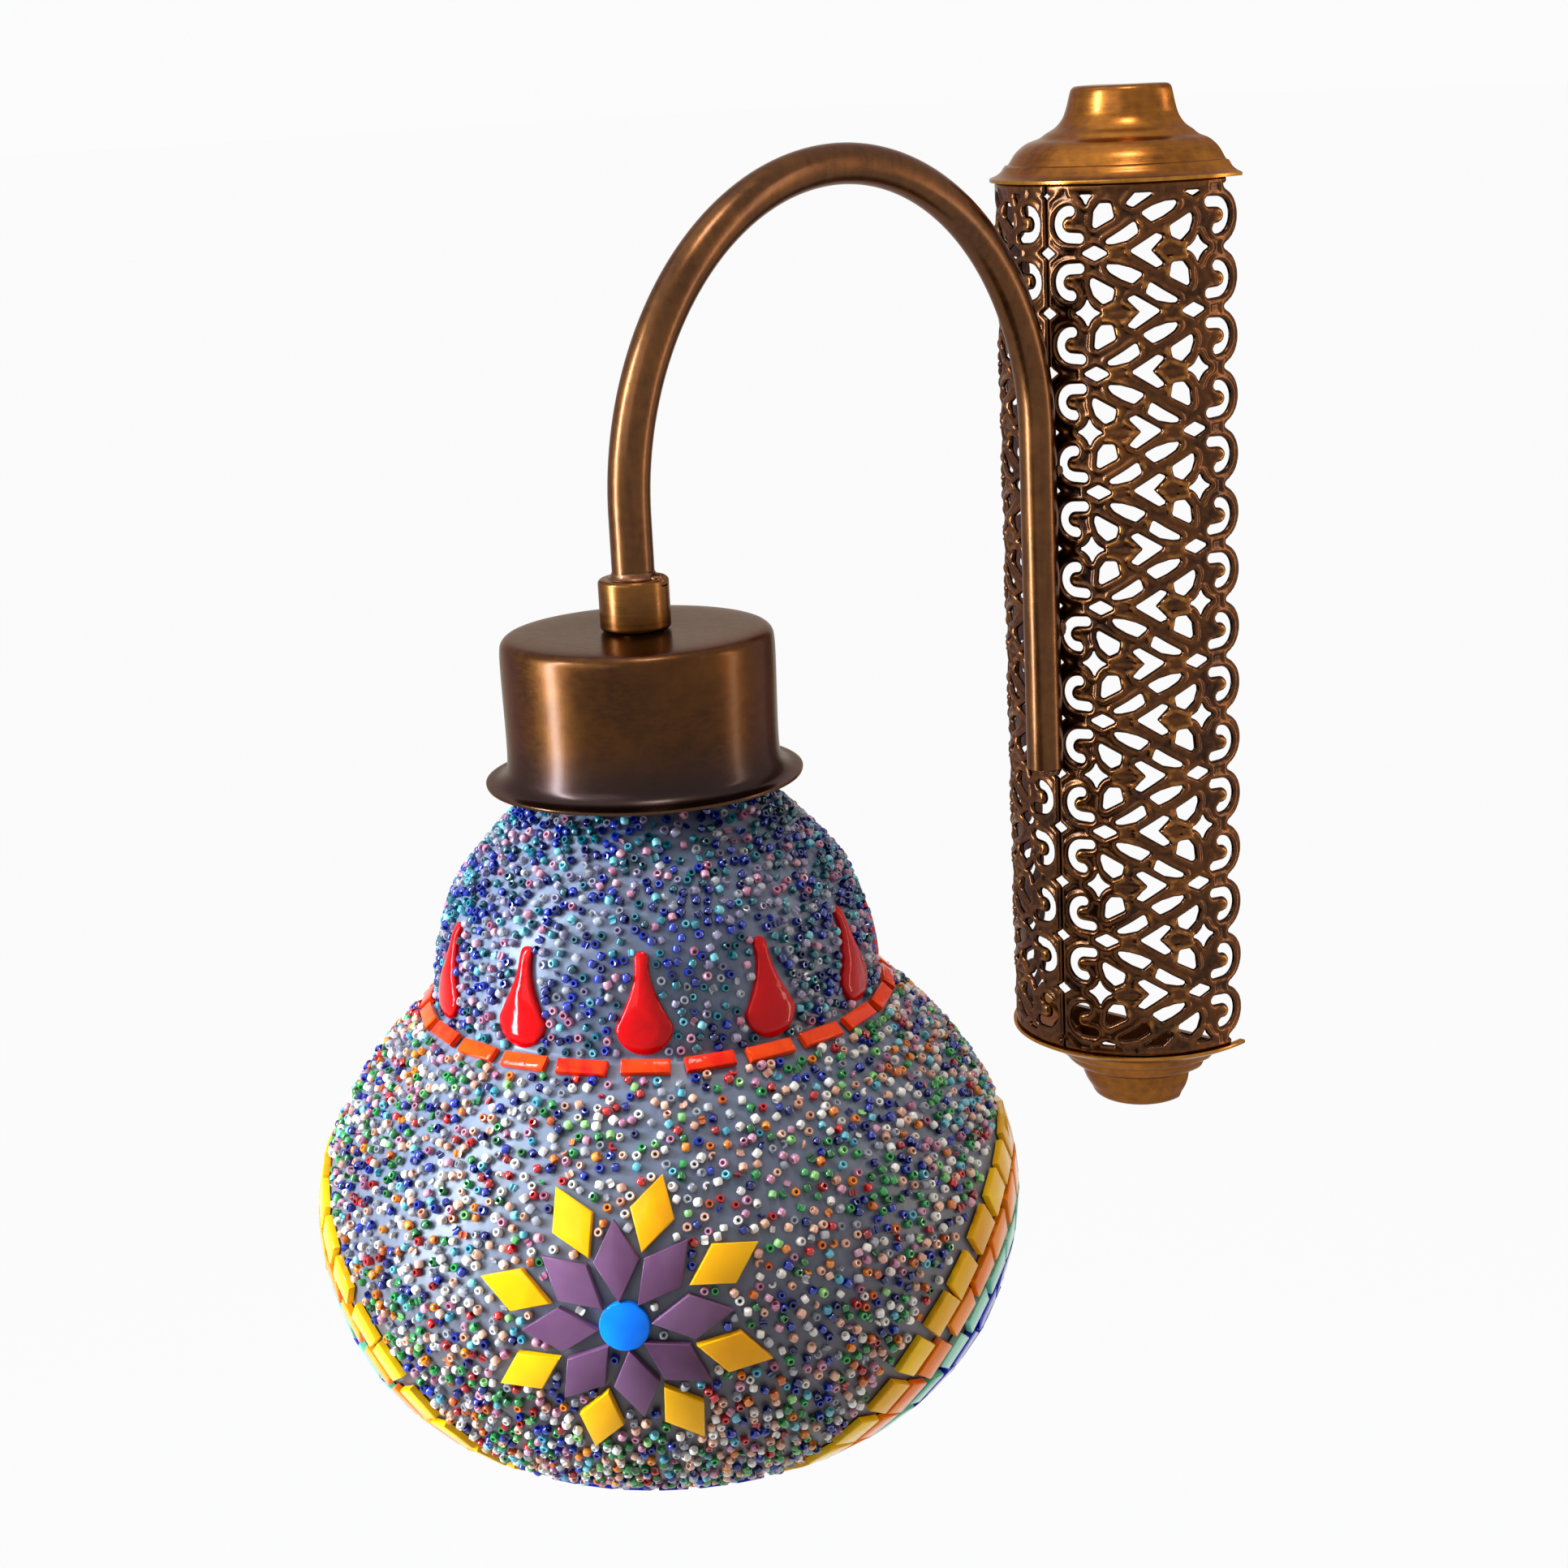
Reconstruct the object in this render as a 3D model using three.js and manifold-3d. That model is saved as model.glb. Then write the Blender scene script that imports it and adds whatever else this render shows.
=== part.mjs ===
// A mosaic wall lamp: a half-round pierced wall bracket, a swan-neck arm, a spun cup and a mosaic glass globe.
// Millimetres, +Z up. The wall is the plane Y = 0, the lamp hangs on its -Y side,
// and the origin is the middle of the upper fixing strap's back face.
import * as THREE from "three";
import { mergeVertices } from "three/addons/utils/BufferGeometryUtils.js";
import Module from "manifold-3d";

const wasm = await Module();
wasm.setup();

// Clearance between pieces that are soldered, clamped or seated together
const FIT = 0.3;

// Filigree column: two bands of pressed scrollwork, each bent to a quarter circle
const COLUMN_RADIUS = 43.6;
const SHEET = 1.6;
const SCROLL_ROWS = 15;
const SCROLL_PITCH = 19;
const BAND_EDGE = 2.3;
const WIDEST_FACET = 18;
const COLUMN_SEGMENTS = 24;

// Half-round spun caps at the column's ends
const RIM_BELOW_FIXING = 7.5;
const TOP_CAP_OVERHANG = 1.6;
const TOP_CAP_HEIGHT = 29.4;
const BOTTOM_CAP_OVERHANG = 1;
const BOTTOM_CAP_HEIGHT = 29;
const CAP_WALL = 1.1;

// Fixing straps across the caps' open backs
const STRAP_THICKNESS = 2;
const STRAP_HEIGHT = 11;
const STRAP_LIFT = 2;
const STRAP_STEPS = 8;
const SCREW_HOLE_SEGMENTS = 8;
const SCREW_HOLE = 4.6;
const SCREW_SPACING = 30;

// Swan-neck arm
const TUBE_DIAMETER = 12;
const TUBE_WALL = 1.2;
const REACH = 180;
const ARCH_CENTRE_DROP = 78;
const FAR_LEG = 111;
const NEAR_LEG = 17.5;
const ARM_STEPS = 28;

// Collar, hollow threaded nipple and the nut that clamps the cup
const COLLAR_DIAMETER = 19.5;
const COLLAR_HEIGHT = 14.6;
const TUBE_SEAT = 7.5;
const NIPPLE_DIAMETER = 10;
const NIPPLE_BORE = 7;
const NIPPLE_IN_COLLAR = 6;
const EDGE_BREAK = 0.8;
const COLLAR_SEGMENTS = 20;
const NUT_ACROSS_FLATS = 14;
const NUT_HEIGHT = 4;
const NIPPLE_IN_HOLDER = 5;
const SMALL_SEGMENTS = 16;
const CLIP_PLATE_RADIUS = 15;
const CLIP_PLATE_THICKNESS = 1.2;

// Spun cup that covers the globe's neck
const CUP_RADIUS = 38.4;
const CUP_HEIGHT = 41;
const CUP_WALL = 1;
const CUP_CORNER = 4;
const FLANGE_RADIUS = 44.8;
const FLANGE_CURL = 5.5;
const CUP_SEGMENTS = 24;

// Glass globe, with its layer of glued beads
const GLOBE_RADIUS = 100;
const GLOBE_DROP = 200.4;
const NECK_RADIUS = 30.5;
const NECK_RISE = 14;
const GLASS_WALL = 3;
const BEAD_LAYER = 2.3;
const GLUE = 0.3;

// Teardrop tiles above the waist, and the ring of small flat tiles just below it
const TEARDROPS = 11;
const TEARDROP_WIDTH = 15.4;
const TEARDROP_LENGTH = 27.5;
const TEARDROP_TIP_RADIUS = 2.1;
const TEARDROP_UPRIGHT = 0.98;
const TEARDROP_FOOT_ABOVE_WAIST = 0.5;
const FIRST_TEARDROP = 43.5;
const TILE_THICKNESS = 2.4;
const BAND_TILES = 24;
const BAND_TILE_HEIGHT = 4.4;
const BAND_BELOW_WAIST = 1.5;
const BAND_TO_BEADS = 0.26;
const BEADS_ABOVE_WAIST = 1.2;
const GLOBE_SEGMENTS = 3 * TEARDROPS;

// Screw-base lamp holder and globe bulb
const HOLDER_RADIUS = 20;
const HOLDER_CAP_HEIGHT = 16;
const HOLDER_BODY_HEIGHT = 34;
const HOLDER_WALL = 1.6;
const HOLDER_SHOULDER = 5;
const INSERT_HEIGHT = 9;
const THREAD_SHELL_RADIUS = 14.4;
const THREAD_SHELL_HEIGHT = 23;
const THREAD_SHELL_WALL = 0.6;
const CONTACT_RADIUS = 4;
const CONTACT_THICKNESS = 1.2;
const BULB_RADIUS = 22.5;
const BULB_LENGTH = 78;
const BULB_BALL_TURN = 0.78 * Math.PI;
const BULB_WALL = 1;
const BULB_CAP_RADIUS = 13.3;
const BULB_CAP_LENGTH = 25;

// Spring clips that grip the inside of the glass neck
const CLIPS = 3;
const CLIP_WIDTH = 8;
const CLIP_THICKNESS = 0.8;
const CLIP_SHOULDER_RADIUS = 22;
const CLIP_GRIP_BELOW_LIP = 7;
const CLIP_TAIL = 9;
const CLIP_BEND = 4;
const CLIP_BOW = 1;

// Heights and places that follow from the sizes above
const topCapRadius = COLUMN_RADIUS + TOP_CAP_OVERHANG;
const bottomCapRadius = COLUMN_RADIUS + BOTTOM_CAP_OVERHANG;
const topRimZ = -RIM_BELOW_FIXING;
const bandTopZ = topRimZ - FIT;
const bandLength = SCROLL_ROWS * SCROLL_PITCH + 2 * BAND_EDGE;
const bottomRimZ = bandTopZ - bandLength - FIT;
const tubeRadius = TUBE_DIAMETER / 2;
const farLegY = -(COLUMN_RADIUS + FIT + tubeRadius);
const lampY = farLegY - REACH;
const archCentreZ = topRimZ - ARCH_CENTRE_DROP;
const collarTopZ = archCentreZ - NEAR_LEG;
const collarBottomZ = collarTopZ - COLLAR_HEIGHT;
const cupTopZ = collarBottomZ - FIT;
const flangeZ = cupTopZ - CUP_HEIGHT;
const glassLipZ = flangeZ + NECK_RISE;
const neckBoreRadius = NECK_RADIUS - GLASS_WALL;
const clipPlateTopZ = cupTopZ - CUP_WALL - FIT;
const clipPlateBottomZ = clipPlateTopZ - CLIP_PLATE_THICKNESS;
const nutTopZ = clipPlateBottomZ - CLIP_THICKNESS - 2 * FIT;
const nutBottomZ = nutTopZ - NUT_HEIGHT;
const holderTopZ = nutBottomZ - FIT;
const holderSplitZ = holderTopZ - HOLDER_CAP_HEIGHT;
const holderBottomZ = holderSplitZ - FIT - HOLDER_BODY_HEIGHT;
const insertBottomZ = holderSplitZ - 2 * FIT - INSERT_HEIGHT;
const contactBottomZ = insertBottomZ - FIT - CONTACT_THICKNESS;
const bulbTopZ = contactBottomZ - FIT;

// Materials
const metal = (color, roughness) => new THREE.MeshStandardMaterial({ color, roughness, metalness: 1 });
const glass = (color, roughness) => new THREE.MeshStandardMaterial({ color, roughness, metalness: 0 });
const agedBrass = metal(0x7a5630, 0.42);
const darkBrass = metal(0x5d4126, 0.5);
const brightBrass = metal(0xa88348, 0.3);
const steel = metal(0x9a9a98, 0.35);
const porcelain = glass(0xe9e6dd, 0.3);
const frostedGlass = glass(0x9aa7b4, 0.55);
const beadMix = glass(0x3f6f8f, 0.35);
const redGlass = glass(0xa3141a, 0.12);
const orangeGlass = glass(0xd2501d, 0.15);
const bulbGlass = glass(0xf4f2ea, 0.25);

// Closed meshes become solids for a cut or a join, and come back as geometries
function solidFrom(geometry) {
  const bare = geometry.clone();
  bare.deleteAttribute("normal");
  bare.deleteAttribute("uv");
  const merged = mergeVertices(bare, 1e-4);
  return new wasm.Manifold(
    new wasm.Mesh({
      numProp: 3,
      vertProperties: new Float32Array(merged.attributes.position.array),
      triVerts: new Uint32Array(merged.index.array),
    }),
  );
}

function geometryFrom(solid) {
  const mesh = solid.getMesh();
  const geometry = new THREE.BufferGeometry();
  geometry.setAttribute("position", new THREE.BufferAttribute(mesh.vertProperties, 3));
  geometry.setIndex(new THREE.BufferAttribute(mesh.triVerts, 1));
  geometry.computeVertexNormals();
  return geometry;
}

function piece(name, geometry, material) {
  const mesh = new THREE.Mesh(geometry, material);
  mesh.name = name;
  return mesh;
}

// A revolve about Z. Its profile runs anticlockwise in (radius, height).
function revolve(points, segments) {
  const geometry = new THREE.LatheGeometry(points, segments);
  geometry.rotateX(Math.PI / 2);
  return geometry;
}

const at = (x, y) => new THREE.Vector2(x, y);

// A plain ring or disc between two radii and two heights
function ringProfile(inner, outer, bottom, top) {
  if (inner === 0) {
    return [at(0, bottom), at(outer, bottom), at(outer, top), at(0, top)];
  }
  return [at(inner, bottom), at(outer, bottom), at(outer, top), at(inner, top), at(inner, bottom)];
}

// The points of an outline, each moved sideways: a positive distance goes to the left of its direction
function offsetLine(points, distance) {
  return points.map((point, i) => {
    const before = points[Math.max(i - 1, 0)];
    const after = points[Math.min(i + 1, points.length - 1)];
    const along = at(after.x - before.x, after.y - before.y).normalize();
    return at(point.x - along.y * distance, point.y + along.x * distance);
  });
}

// Radius of an outline at a height, by straight lines between its points
function radiusAt(points, height) {
  for (let i = 1; i < points.length; i++) {
    const [a, b] = [points[i - 1], points[i]];
    const low = Math.min(a.y, b.y);
    const high = Math.max(a.y, b.y);
    if (height >= low && height <= high && high > low) {
      return a.x + ((height - a.y) / (b.y - a.y)) * (b.x - a.x);
    }
  }
  return points[points.length - 1].x;
}

// Filigree pattern. A cell is one scroll pitch high and one band wide. Across, -1 is the seam edge and
// 1 the wall edge; down, 0 and 1 are the levels at which lens and star alternate, left and right.
const LOBE_CENTRE = 0.737;
const SCROLL_SLOT = { outer: 0.345, inner: 0.13, longArm: 2.5, shortArm: 2.1, knob: 1.8, squeeze: 0.54 };
const LENS = [[-0.592, 0], [-0.473, -0.137], [-0.351, 0], [-0.473, 0.137]];
const STAR = { centre: 0.517, tip: 0.235, side: 0.12, waist: 0.055, waistDown: 0.1 };
const CHEVRON = [[-0.147, 0], [0.12, -0.295], [0.168, -0.19], [0.044, 0], [0.168, 0.19], [0.12, 0.295]];
const HEART_LOBE = [[0.27, 0.6], [0.45, 0.385], [0.49, 0.68], [0.385, 0.86], [0.28, 0.83]];
const LEAF = [[-0.41, 0.84], [-0.115, 0.475], [-0.068, 0.7], [-0.2, 0.875]];
const SEAM_DIAMOND = { depth: 0.06, height: 0.13 };
const NOTCH_DEPTH = 0.855;
const END_STEPS = 7;

const bandHalf = (COLUMN_RADIUS * Math.PI) / 4 - FIT / 2;

// Flat places on the band: x across it, y up from its middle, for a share across and a count of pitches down
function bandPoint(across, down) {
  const firstLevel = (SCROLL_ROWS * SCROLL_PITCH) / 2;
  return at(across * bandHalf, firstLevel - down * SCROLL_PITCH);
}

function holeFrom(points, mirror, level) {
  return new THREE.Path(points.map(([across, down]) => bandPoint(mirror * across, level + down)));
}

// The C-shaped slot round a scroll's knob: an outer arc out to the arms' ends, and an inner arc back
function scrollSlot(side, row, longArmBelow) {
  const down = longArmBelow ? SCROLL_SLOT.longArm : SCROLL_SLOT.shortArm;
  const up = longArmBelow ? SCROLL_SLOT.shortArm : SCROLL_SLOT.longArm;
  const ring = (share, from, to, count) =>
    Array.from({ length: count }, (_, i) => {
      const angle = from + ((to - from) * i) / (count - 1);
      const across = side * (LOBE_CENTRE + share * SCROLL_SLOT.squeeze * Math.cos(angle));
      return [across, 0.5 + share * Math.sin(angle)];
    });
  const outer = ring(SCROLL_SLOT.outer, -up, down, 5);
  const inner = ring(SCROLL_SLOT.inner, SCROLL_SLOT.knob, -SCROLL_SLOT.knob, 3);
  return holeFrom([...outer, ...inner], 1, row);
}

function starHole(side, level) {
  const { centre, tip, side: arm, waist: hollow, waistDown } = STAR;
  const points = [];
  for (let i = 0; i < 8; i++) {
    const angle = (i * Math.PI) / 4;
    const isTip = i % 2 === 0;
    const across = (isTip ? arm : hollow) * Math.cos(angle);
    const down = (isTip ? tip : waistDown) * Math.sin(angle);
    points.push([centre + across, down]);
  }
  return holeFrom(points, side, level);
}

// The band's flat outline: lobes along the wall edge, small half diamonds along the seam edge
function bandShape() {
  const top = (SCROLL_ROWS * SCROLL_PITCH) / 2 + BAND_EDGE;
  const endStep = ((1 + NOTCH_DEPTH) * bandHalf) / END_STEPS;
  const endSteps = Array.from({ length: END_STEPS + 1 }, (_, i) => i * endStep - bandHalf);
  const outline = endSteps.map((x) => at(x, -top));
  const lobeReach = 1 - LOBE_CENTRE;
  for (let row = SCROLL_ROWS - 1; row >= 0; row--) {
    for (const angle of [1.05, 0.36, -0.36, -1.05]) {
      outline.push(bandPoint(LOBE_CENTRE + lobeReach * Math.cos(angle), row + 0.5 + 0.5 * Math.sin(angle)));
    }
    if (row > 0) outline.push(bandPoint(NOTCH_DEPTH - 0.01, row));
  }
  outline.push(...endSteps.map((x) => at(x, top)).reverse());
  for (let level = 1; level < SCROLL_ROWS; level++) {
    outline.push(bandPoint(-1, level - SEAM_DIAMOND.height));
    outline.push(bandPoint(-1 + SEAM_DIAMOND.depth, level));
    outline.push(bandPoint(-1, level + SEAM_DIAMOND.height));
  }
  const shape = new THREE.Shape(outline);
  for (let row = 0; row < SCROLL_ROWS; row++) {
    const mirror = row % 2 === 0 ? 1 : -1;
    const turned = (points) => points.map(([across, down]) => [-across, 1 - down]);
    for (const side of [-1, 1]) shape.holes.push(scrollSlot(side, row, side * mirror < 0));
    for (const outlineOfHole of [HEART_LOBE, turned(HEART_LOBE), LEAF, turned(LEAF)]) {
      shape.holes.push(holeFrom(outlineOfHole, mirror, row));
    }
  }
  for (let level = 1; level < SCROLL_ROWS; level++) {
    const mirror = level % 2 === 1 ? 1 : -1;
    shape.holes.push(holeFrom(LENS, mirror, level), holeFrom(CHEVRON, mirror, level), starHole(mirror, level));
  }
  return shape;
}

// Halves the triangles that reach far across the flat band, so that the bent band keeps its curve
function splitWideTriangles(geometry) {
  const source = geometry.attributes.position;
  const waiting = [];
  for (let i = 0; i < source.count; i += 3) {
    waiting.push([0, 1, 2].map((corner) => new THREE.Vector3().fromBufferAttribute(source, i + corner)));
  }
  const positions = [];
  while (waiting.length > 0) {
    const corners = waiting.pop();
    const spans = corners.map((corner, i) => Math.abs(corner.x - corners[(i + 1) % 3].x));
    const widest = spans.indexOf(Math.max(...spans));
    if (spans[widest] <= WIDEST_FACET) {
      positions.push(...corners.flatMap((corner) => corner.toArray()));
      continue;
    }
    const [start, end, apex] = [0, 1, 2].map((step) => corners[(widest + step) % 3]);
    const middle = start.clone().add(end).divideScalar(2);
    waiting.push([start, middle, apex], [middle, end, apex]);
  }
  const split = new THREE.BufferGeometry();
  split.setAttribute("position", new THREE.Float32BufferAttribute(positions, 3));
  return split;
}

// Bends the flat band round the column: side 1 is the right-hand band, -1 the left-hand one
function bendRoundColumn(geometry, side) {
  const position = geometry.attributes.position;
  for (let i = 0; i < position.count; i++) {
    const angle = Math.PI / 4 + position.getX(i) / COLUMN_RADIUS;
    const radius = COLUMN_RADIUS - SHEET + position.getZ(i);
    const up = position.getY(i);
    position.setXYZ(i, side * radius * Math.sin(angle), -radius * Math.cos(angle), up);
  }
  if (side < 0) {
    for (let i = 0; i < position.count; i += 3) {
      const [x, y, z] = [position.getX(i + 1), position.getY(i + 1), position.getZ(i + 1)];
      position.setXYZ(i + 1, position.getX(i + 2), position.getY(i + 2), position.getZ(i + 2));
      position.setXYZ(i + 2, x, y, z);
    }
  }
  return geometry;
}

function filigreeBand(name, side) {
  const flat = new THREE.ExtrudeGeometry(bandShape(), { depth: SHEET, bevelEnabled: false });
  const band = piece(name, bendRoundColumn(splitWideTriangles(flat), side), darkBrass);
  band.position.z = bandTopZ - bandLength / 2;
  return band;
}

// Spun caps, revolved whole and cut along the wall plane
function topCapOutline(steps) {
  const rim = topCapRadius;
  const height = TOP_CAP_HEIGHT;
  const path = new THREE.Path();
  path.moveTo(rim, 0);
  path.lineTo(rim, CAP_WALL);
  path.quadraticCurveTo(rim * 0.92, height * 0.07, rim * 0.885, height * 0.17);
  path.lineTo(rim * 0.862, height * 0.18);
  path.quadraticCurveTo(rim * 0.79, height * 0.4, rim * 0.628, height * 0.455);
  path.lineTo(rim * 0.585, height * 0.5);
  path.quadraticCurveTo(rim * 0.46, height * 0.58, rim * 0.43, height * 0.79);
  path.lineTo(rim * 0.408, height * 0.92);
  path.quadraticCurveTo(rim * 0.4, height, rim * 0.345, height);
  return path.getPoints(steps);
}

function bottomCapOutline(steps) {
  const rim = bottomCapRadius;
  const height = BOTTOM_CAP_HEIGHT;
  const path = new THREE.Path();
  path.moveTo(rim * 0.27, -height);
  path.quadraticCurveTo(rim * 0.375, -height, rim * 0.395, -height * 0.87);
  path.quadraticCurveTo(rim * 0.46, -height * 0.73, rim * 0.47, -height * 0.57);
  path.lineTo(rim * 0.495, -height * 0.56);
  path.quadraticCurveTo(rim * 0.59, -height * 0.51, rim * 0.615, -height * 0.375);
  path.lineTo(rim * 0.64, -height * 0.37);
  path.quadraticCurveTo(rim * 0.7, -height * 0.3, rim * 0.71, -height * 0.22);
  path.quadraticCurveTo(rim * 0.86, -height * 0.17, rim, -CAP_WALL);
  path.lineTo(rim, 0);
  return path.getPoints(steps);
}

function halfCap(name, outline, rimZ, radius) {
  const whole = solidFrom(revolve(outline, COLUMN_SEGMENTS));
  const behind = new THREE.BoxGeometry(4 * radius, 2 * radius, 4 * radius);
  behind.translate(0, radius, 0);
  const cap = piece(name, geometryFrom(whole.subtract(solidFrom(behind))), agedBrass);
  cap.position.z = rimZ;
  return cap;
}

const topOuter = topCapOutline(3);
const topInner = offsetLine(topCapOutline(2), CAP_WALL)
  .slice(1)
  .map((point) => at(point.x, Math.max(point.y, 0)));
const bottomOuter = bottomCapOutline(3);
const bottomInner = offsetLine(bottomCapOutline(2), CAP_WALL)
  .slice(0, -1)
  .map((point) => at(point.x, Math.min(point.y, 0)));

function topCap() {
  const lip = at(topCapRadius - 2 * CAP_WALL, 0);
  const inside = [at(0, TOP_CAP_HEIGHT - CAP_WALL), ...[...topInner].reverse(), lip];
  return halfCap("top_cap", [...inside, ...topOuter, at(0, TOP_CAP_HEIGHT)], topRimZ, topCapRadius);
}

function bottomCap() {
  const lip = at(bottomCapRadius - 2 * CAP_WALL, 0);
  const inside = [lip, ...[...bottomInner].reverse(), at(0, CAP_WALL - BOTTOM_CAP_HEIGHT)];
  const outside = [at(0, -BOTTOM_CAP_HEIGHT), ...bottomOuter];
  return halfCap("bottom_cap", [...outside, ...inside], bottomRimZ, bottomCapRadius);
}

// Fixing straps fill the width between a cap's walls, and take the wall screws
function fixingStrap(name, innerLine, lowZ, rimZ) {
  const step = STRAP_HEIGHT / STRAP_STEPS;
  const right = Array.from({ length: STRAP_STEPS + 1 }, (_, i) => {
    const height = lowZ + i * step;
    const nearby = [height - step / 2, height, height + step / 2].map((level) => radiusAt(innerLine, level));
    return at(Math.min(...nearby) - FIT, height);
  });
  const left = right.map((point) => at(-point.x, point.y)).reverse();
  const shape = new THREE.Shape([...right, ...left]);
  for (const x of [-SCREW_SPACING / 2, SCREW_SPACING / 2]) {
    const hole = new THREE.Path();
    hole.absarc(x, lowZ + STRAP_HEIGHT / 2, SCREW_HOLE / 2, 0, 2 * Math.PI, true);
    shape.holes.push(hole);
  }
  const plate = new THREE.ExtrudeGeometry(shape, {
    depth: STRAP_THICKNESS,
    bevelEnabled: false,
    curveSegments: SCREW_HOLE_SEGMENTS,
  });
  plate.rotateX(Math.PI / 2);
  const strap = piece(name, plate, agedBrass);
  strap.position.z = rimZ;
  return strap;
}

// Swan-neck arm: a tube along a far leg, a half circle and a near leg that ends in the collar
class HalfArch extends THREE.Curve {
  getPoint(t, target = new THREE.Vector3()) {
    const angle = Math.PI * t;
    const radius = REACH / 2;
    return target.set(0, farLegY - radius + radius * Math.cos(angle), archCentreZ + radius * Math.sin(angle));
  }
}

function armPath() {
  const inPlane = (y, z) => new THREE.Vector3(0, y, z);
  const path = new THREE.CurvePath();
  path.add(new THREE.LineCurve3(inPlane(farLegY, archCentreZ - FAR_LEG), inPlane(farLegY, archCentreZ)));
  path.add(new HalfArch());
  path.add(new THREE.LineCurve3(inPlane(lampY, archCentreZ), inPlane(lampY, collarTopZ - TUBE_SEAT)));
  return path;
}

function armTube() {
  const ring = new THREE.Shape();
  ring.absarc(0, 0, tubeRadius, 0, 2 * Math.PI);
  const bore = new THREE.Path();
  bore.absarc(0, 0, tubeRadius - TUBE_WALL, 0, 2 * Math.PI, true);
  ring.holes.push(bore);
  const along = { steps: ARM_STEPS, extrudePath: armPath(), bevelEnabled: false, curveSegments: 5 };
  return piece("arm_tube", new THREE.ExtrudeGeometry(ring, along), darkBrass);
}

// A turned or spun piece on the lamp's axis
function onLampAxis(name, profile, segments, material) {
  const mesh = piece(name, revolve(profile, segments), material);
  mesh.position.y = lampY;
  return mesh;
}

const nippleHole = NIPPLE_DIAMETER / 2 + FIT;

function armCollar() {
  const outer = COLLAR_DIAMETER / 2;
  const socket = tubeRadius + FIT;
  const floorZ = collarTopZ - TUBE_SEAT - FIT;
  const profile = [
    at(nippleHole, collarBottomZ),
    at(outer - EDGE_BREAK, collarBottomZ),
    at(outer, collarBottomZ + EDGE_BREAK),
    at(outer, collarTopZ - EDGE_BREAK),
    at(outer - EDGE_BREAK, collarTopZ),
    at(socket, collarTopZ),
    at(socket, floorZ),
    at(nippleHole, floorZ),
    at(nippleHole, collarBottomZ),
  ];
  return onLampAxis("arm_collar", profile, COLLAR_SEGMENTS, agedBrass);
}

// The cup's outside runs from the hole out and down to the flange's lip
function fitterCup() {
  const path = new THREE.Path();
  path.moveTo(nippleHole, cupTopZ);
  path.lineTo(CUP_RADIUS - CUP_CORNER, cupTopZ);
  path.quadraticCurveTo(CUP_RADIUS, cupTopZ, CUP_RADIUS, cupTopZ - CUP_CORNER);
  path.lineTo(CUP_RADIUS, flangeZ + FLANGE_CURL);
  path.quadraticCurveTo(CUP_RADIUS, flangeZ, FLANGE_RADIUS, flangeZ);
  const outside = path.getPoints(3);
  const inside = offsetLine(outside, -CUP_WALL);
  const profile = [...[...outside].reverse(), ...inside, outside[outside.length - 1]];
  return onLampAxis("fitter_cup", profile, CUP_SEGMENTS, agedBrass);
}

function threadedNipple() {
  const top = collarBottomZ + NIPPLE_IN_COLLAR;
  const bottom = holderTopZ - NIPPLE_IN_HOLDER;
  const profile = ringProfile(NIPPLE_BORE / 2, NIPPLE_DIAMETER / 2, bottom, top);
  return onLampAxis("threaded_nipple", profile, SMALL_SEGMENTS, brightBrass);
}

function clipPlate() {
  const profile = ringProfile(nippleHole, CLIP_PLATE_RADIUS, clipPlateBottomZ, clipPlateTopZ);
  return onLampAxis("clip_plate", profile, SMALL_SEGMENTS, steel);
}

function lockNut() {
  const corner = NUT_ACROSS_FLATS / 2 / Math.cos(Math.PI / 6);
  const corners = Array.from({ length: 6 }, (_, i) => {
    const angle = (i * Math.PI) / 3;
    return at(corner * Math.cos(angle), corner * Math.sin(angle));
  });
  const shape = new THREE.Shape(corners);
  const hole = new THREE.Path();
  hole.absarc(0, 0, nippleHole, 0, 2 * Math.PI, true);
  shape.holes.push(hole);
  const nut = new THREE.ExtrudeGeometry(shape, { depth: NUT_HEIGHT, bevelEnabled: false, curveSegments: 8 });
  const mesh = piece("lock_nut", nut, brightBrass);
  mesh.position.set(0, lampY, nutBottomZ);
  return mesh;
}

// A clip seen from the side: clamped under the nut's plate, over the shoulder, and down inside the neck
function springClip(index) {
  const topZ = clipPlateBottomZ - FIT;
  const bendRadius = CLIP_SHOULDER_RADIUS + CLIP_BOW;
  const gripRadius = neckBoreRadius - FIT;
  const gripZ = glassLipZ - CLIP_GRIP_BELOW_LIP;
  const path = new THREE.Path();
  path.moveTo(nippleHole + FIT, topZ);
  path.lineTo(CLIP_SHOULDER_RADIUS - CLIP_THICKNESS, topZ);
  path.quadraticCurveTo(bendRadius, topZ, bendRadius, topZ - CLIP_BEND);
  path.quadraticCurveTo(bendRadius + CLIP_BOW, gripZ + CLIP_TAIL, gripRadius, gripZ);
  path.lineTo(gripRadius - 2 * CLIP_BOW, gripZ - CLIP_TAIL);
  const outside = path.getPoints(3);
  const inside = offsetLine(outside, -CLIP_THICKNESS).reverse();
  const shape = new THREE.Shape([...outside, ...inside]);
  const strip = new THREE.ExtrudeGeometry(shape, { depth: CLIP_WIDTH, bevelEnabled: false });
  strip.translate(0, 0, -CLIP_WIDTH / 2);
  strip.rotateX(Math.PI / 2);
  const clip = piece(`spring_clip_${index + 1}`, strip, steel);
  clip.position.y = lampY;
  clip.rotation.z = (2 * Math.PI * (index + 0.5)) / CLIPS;
  return clip;
}

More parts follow.
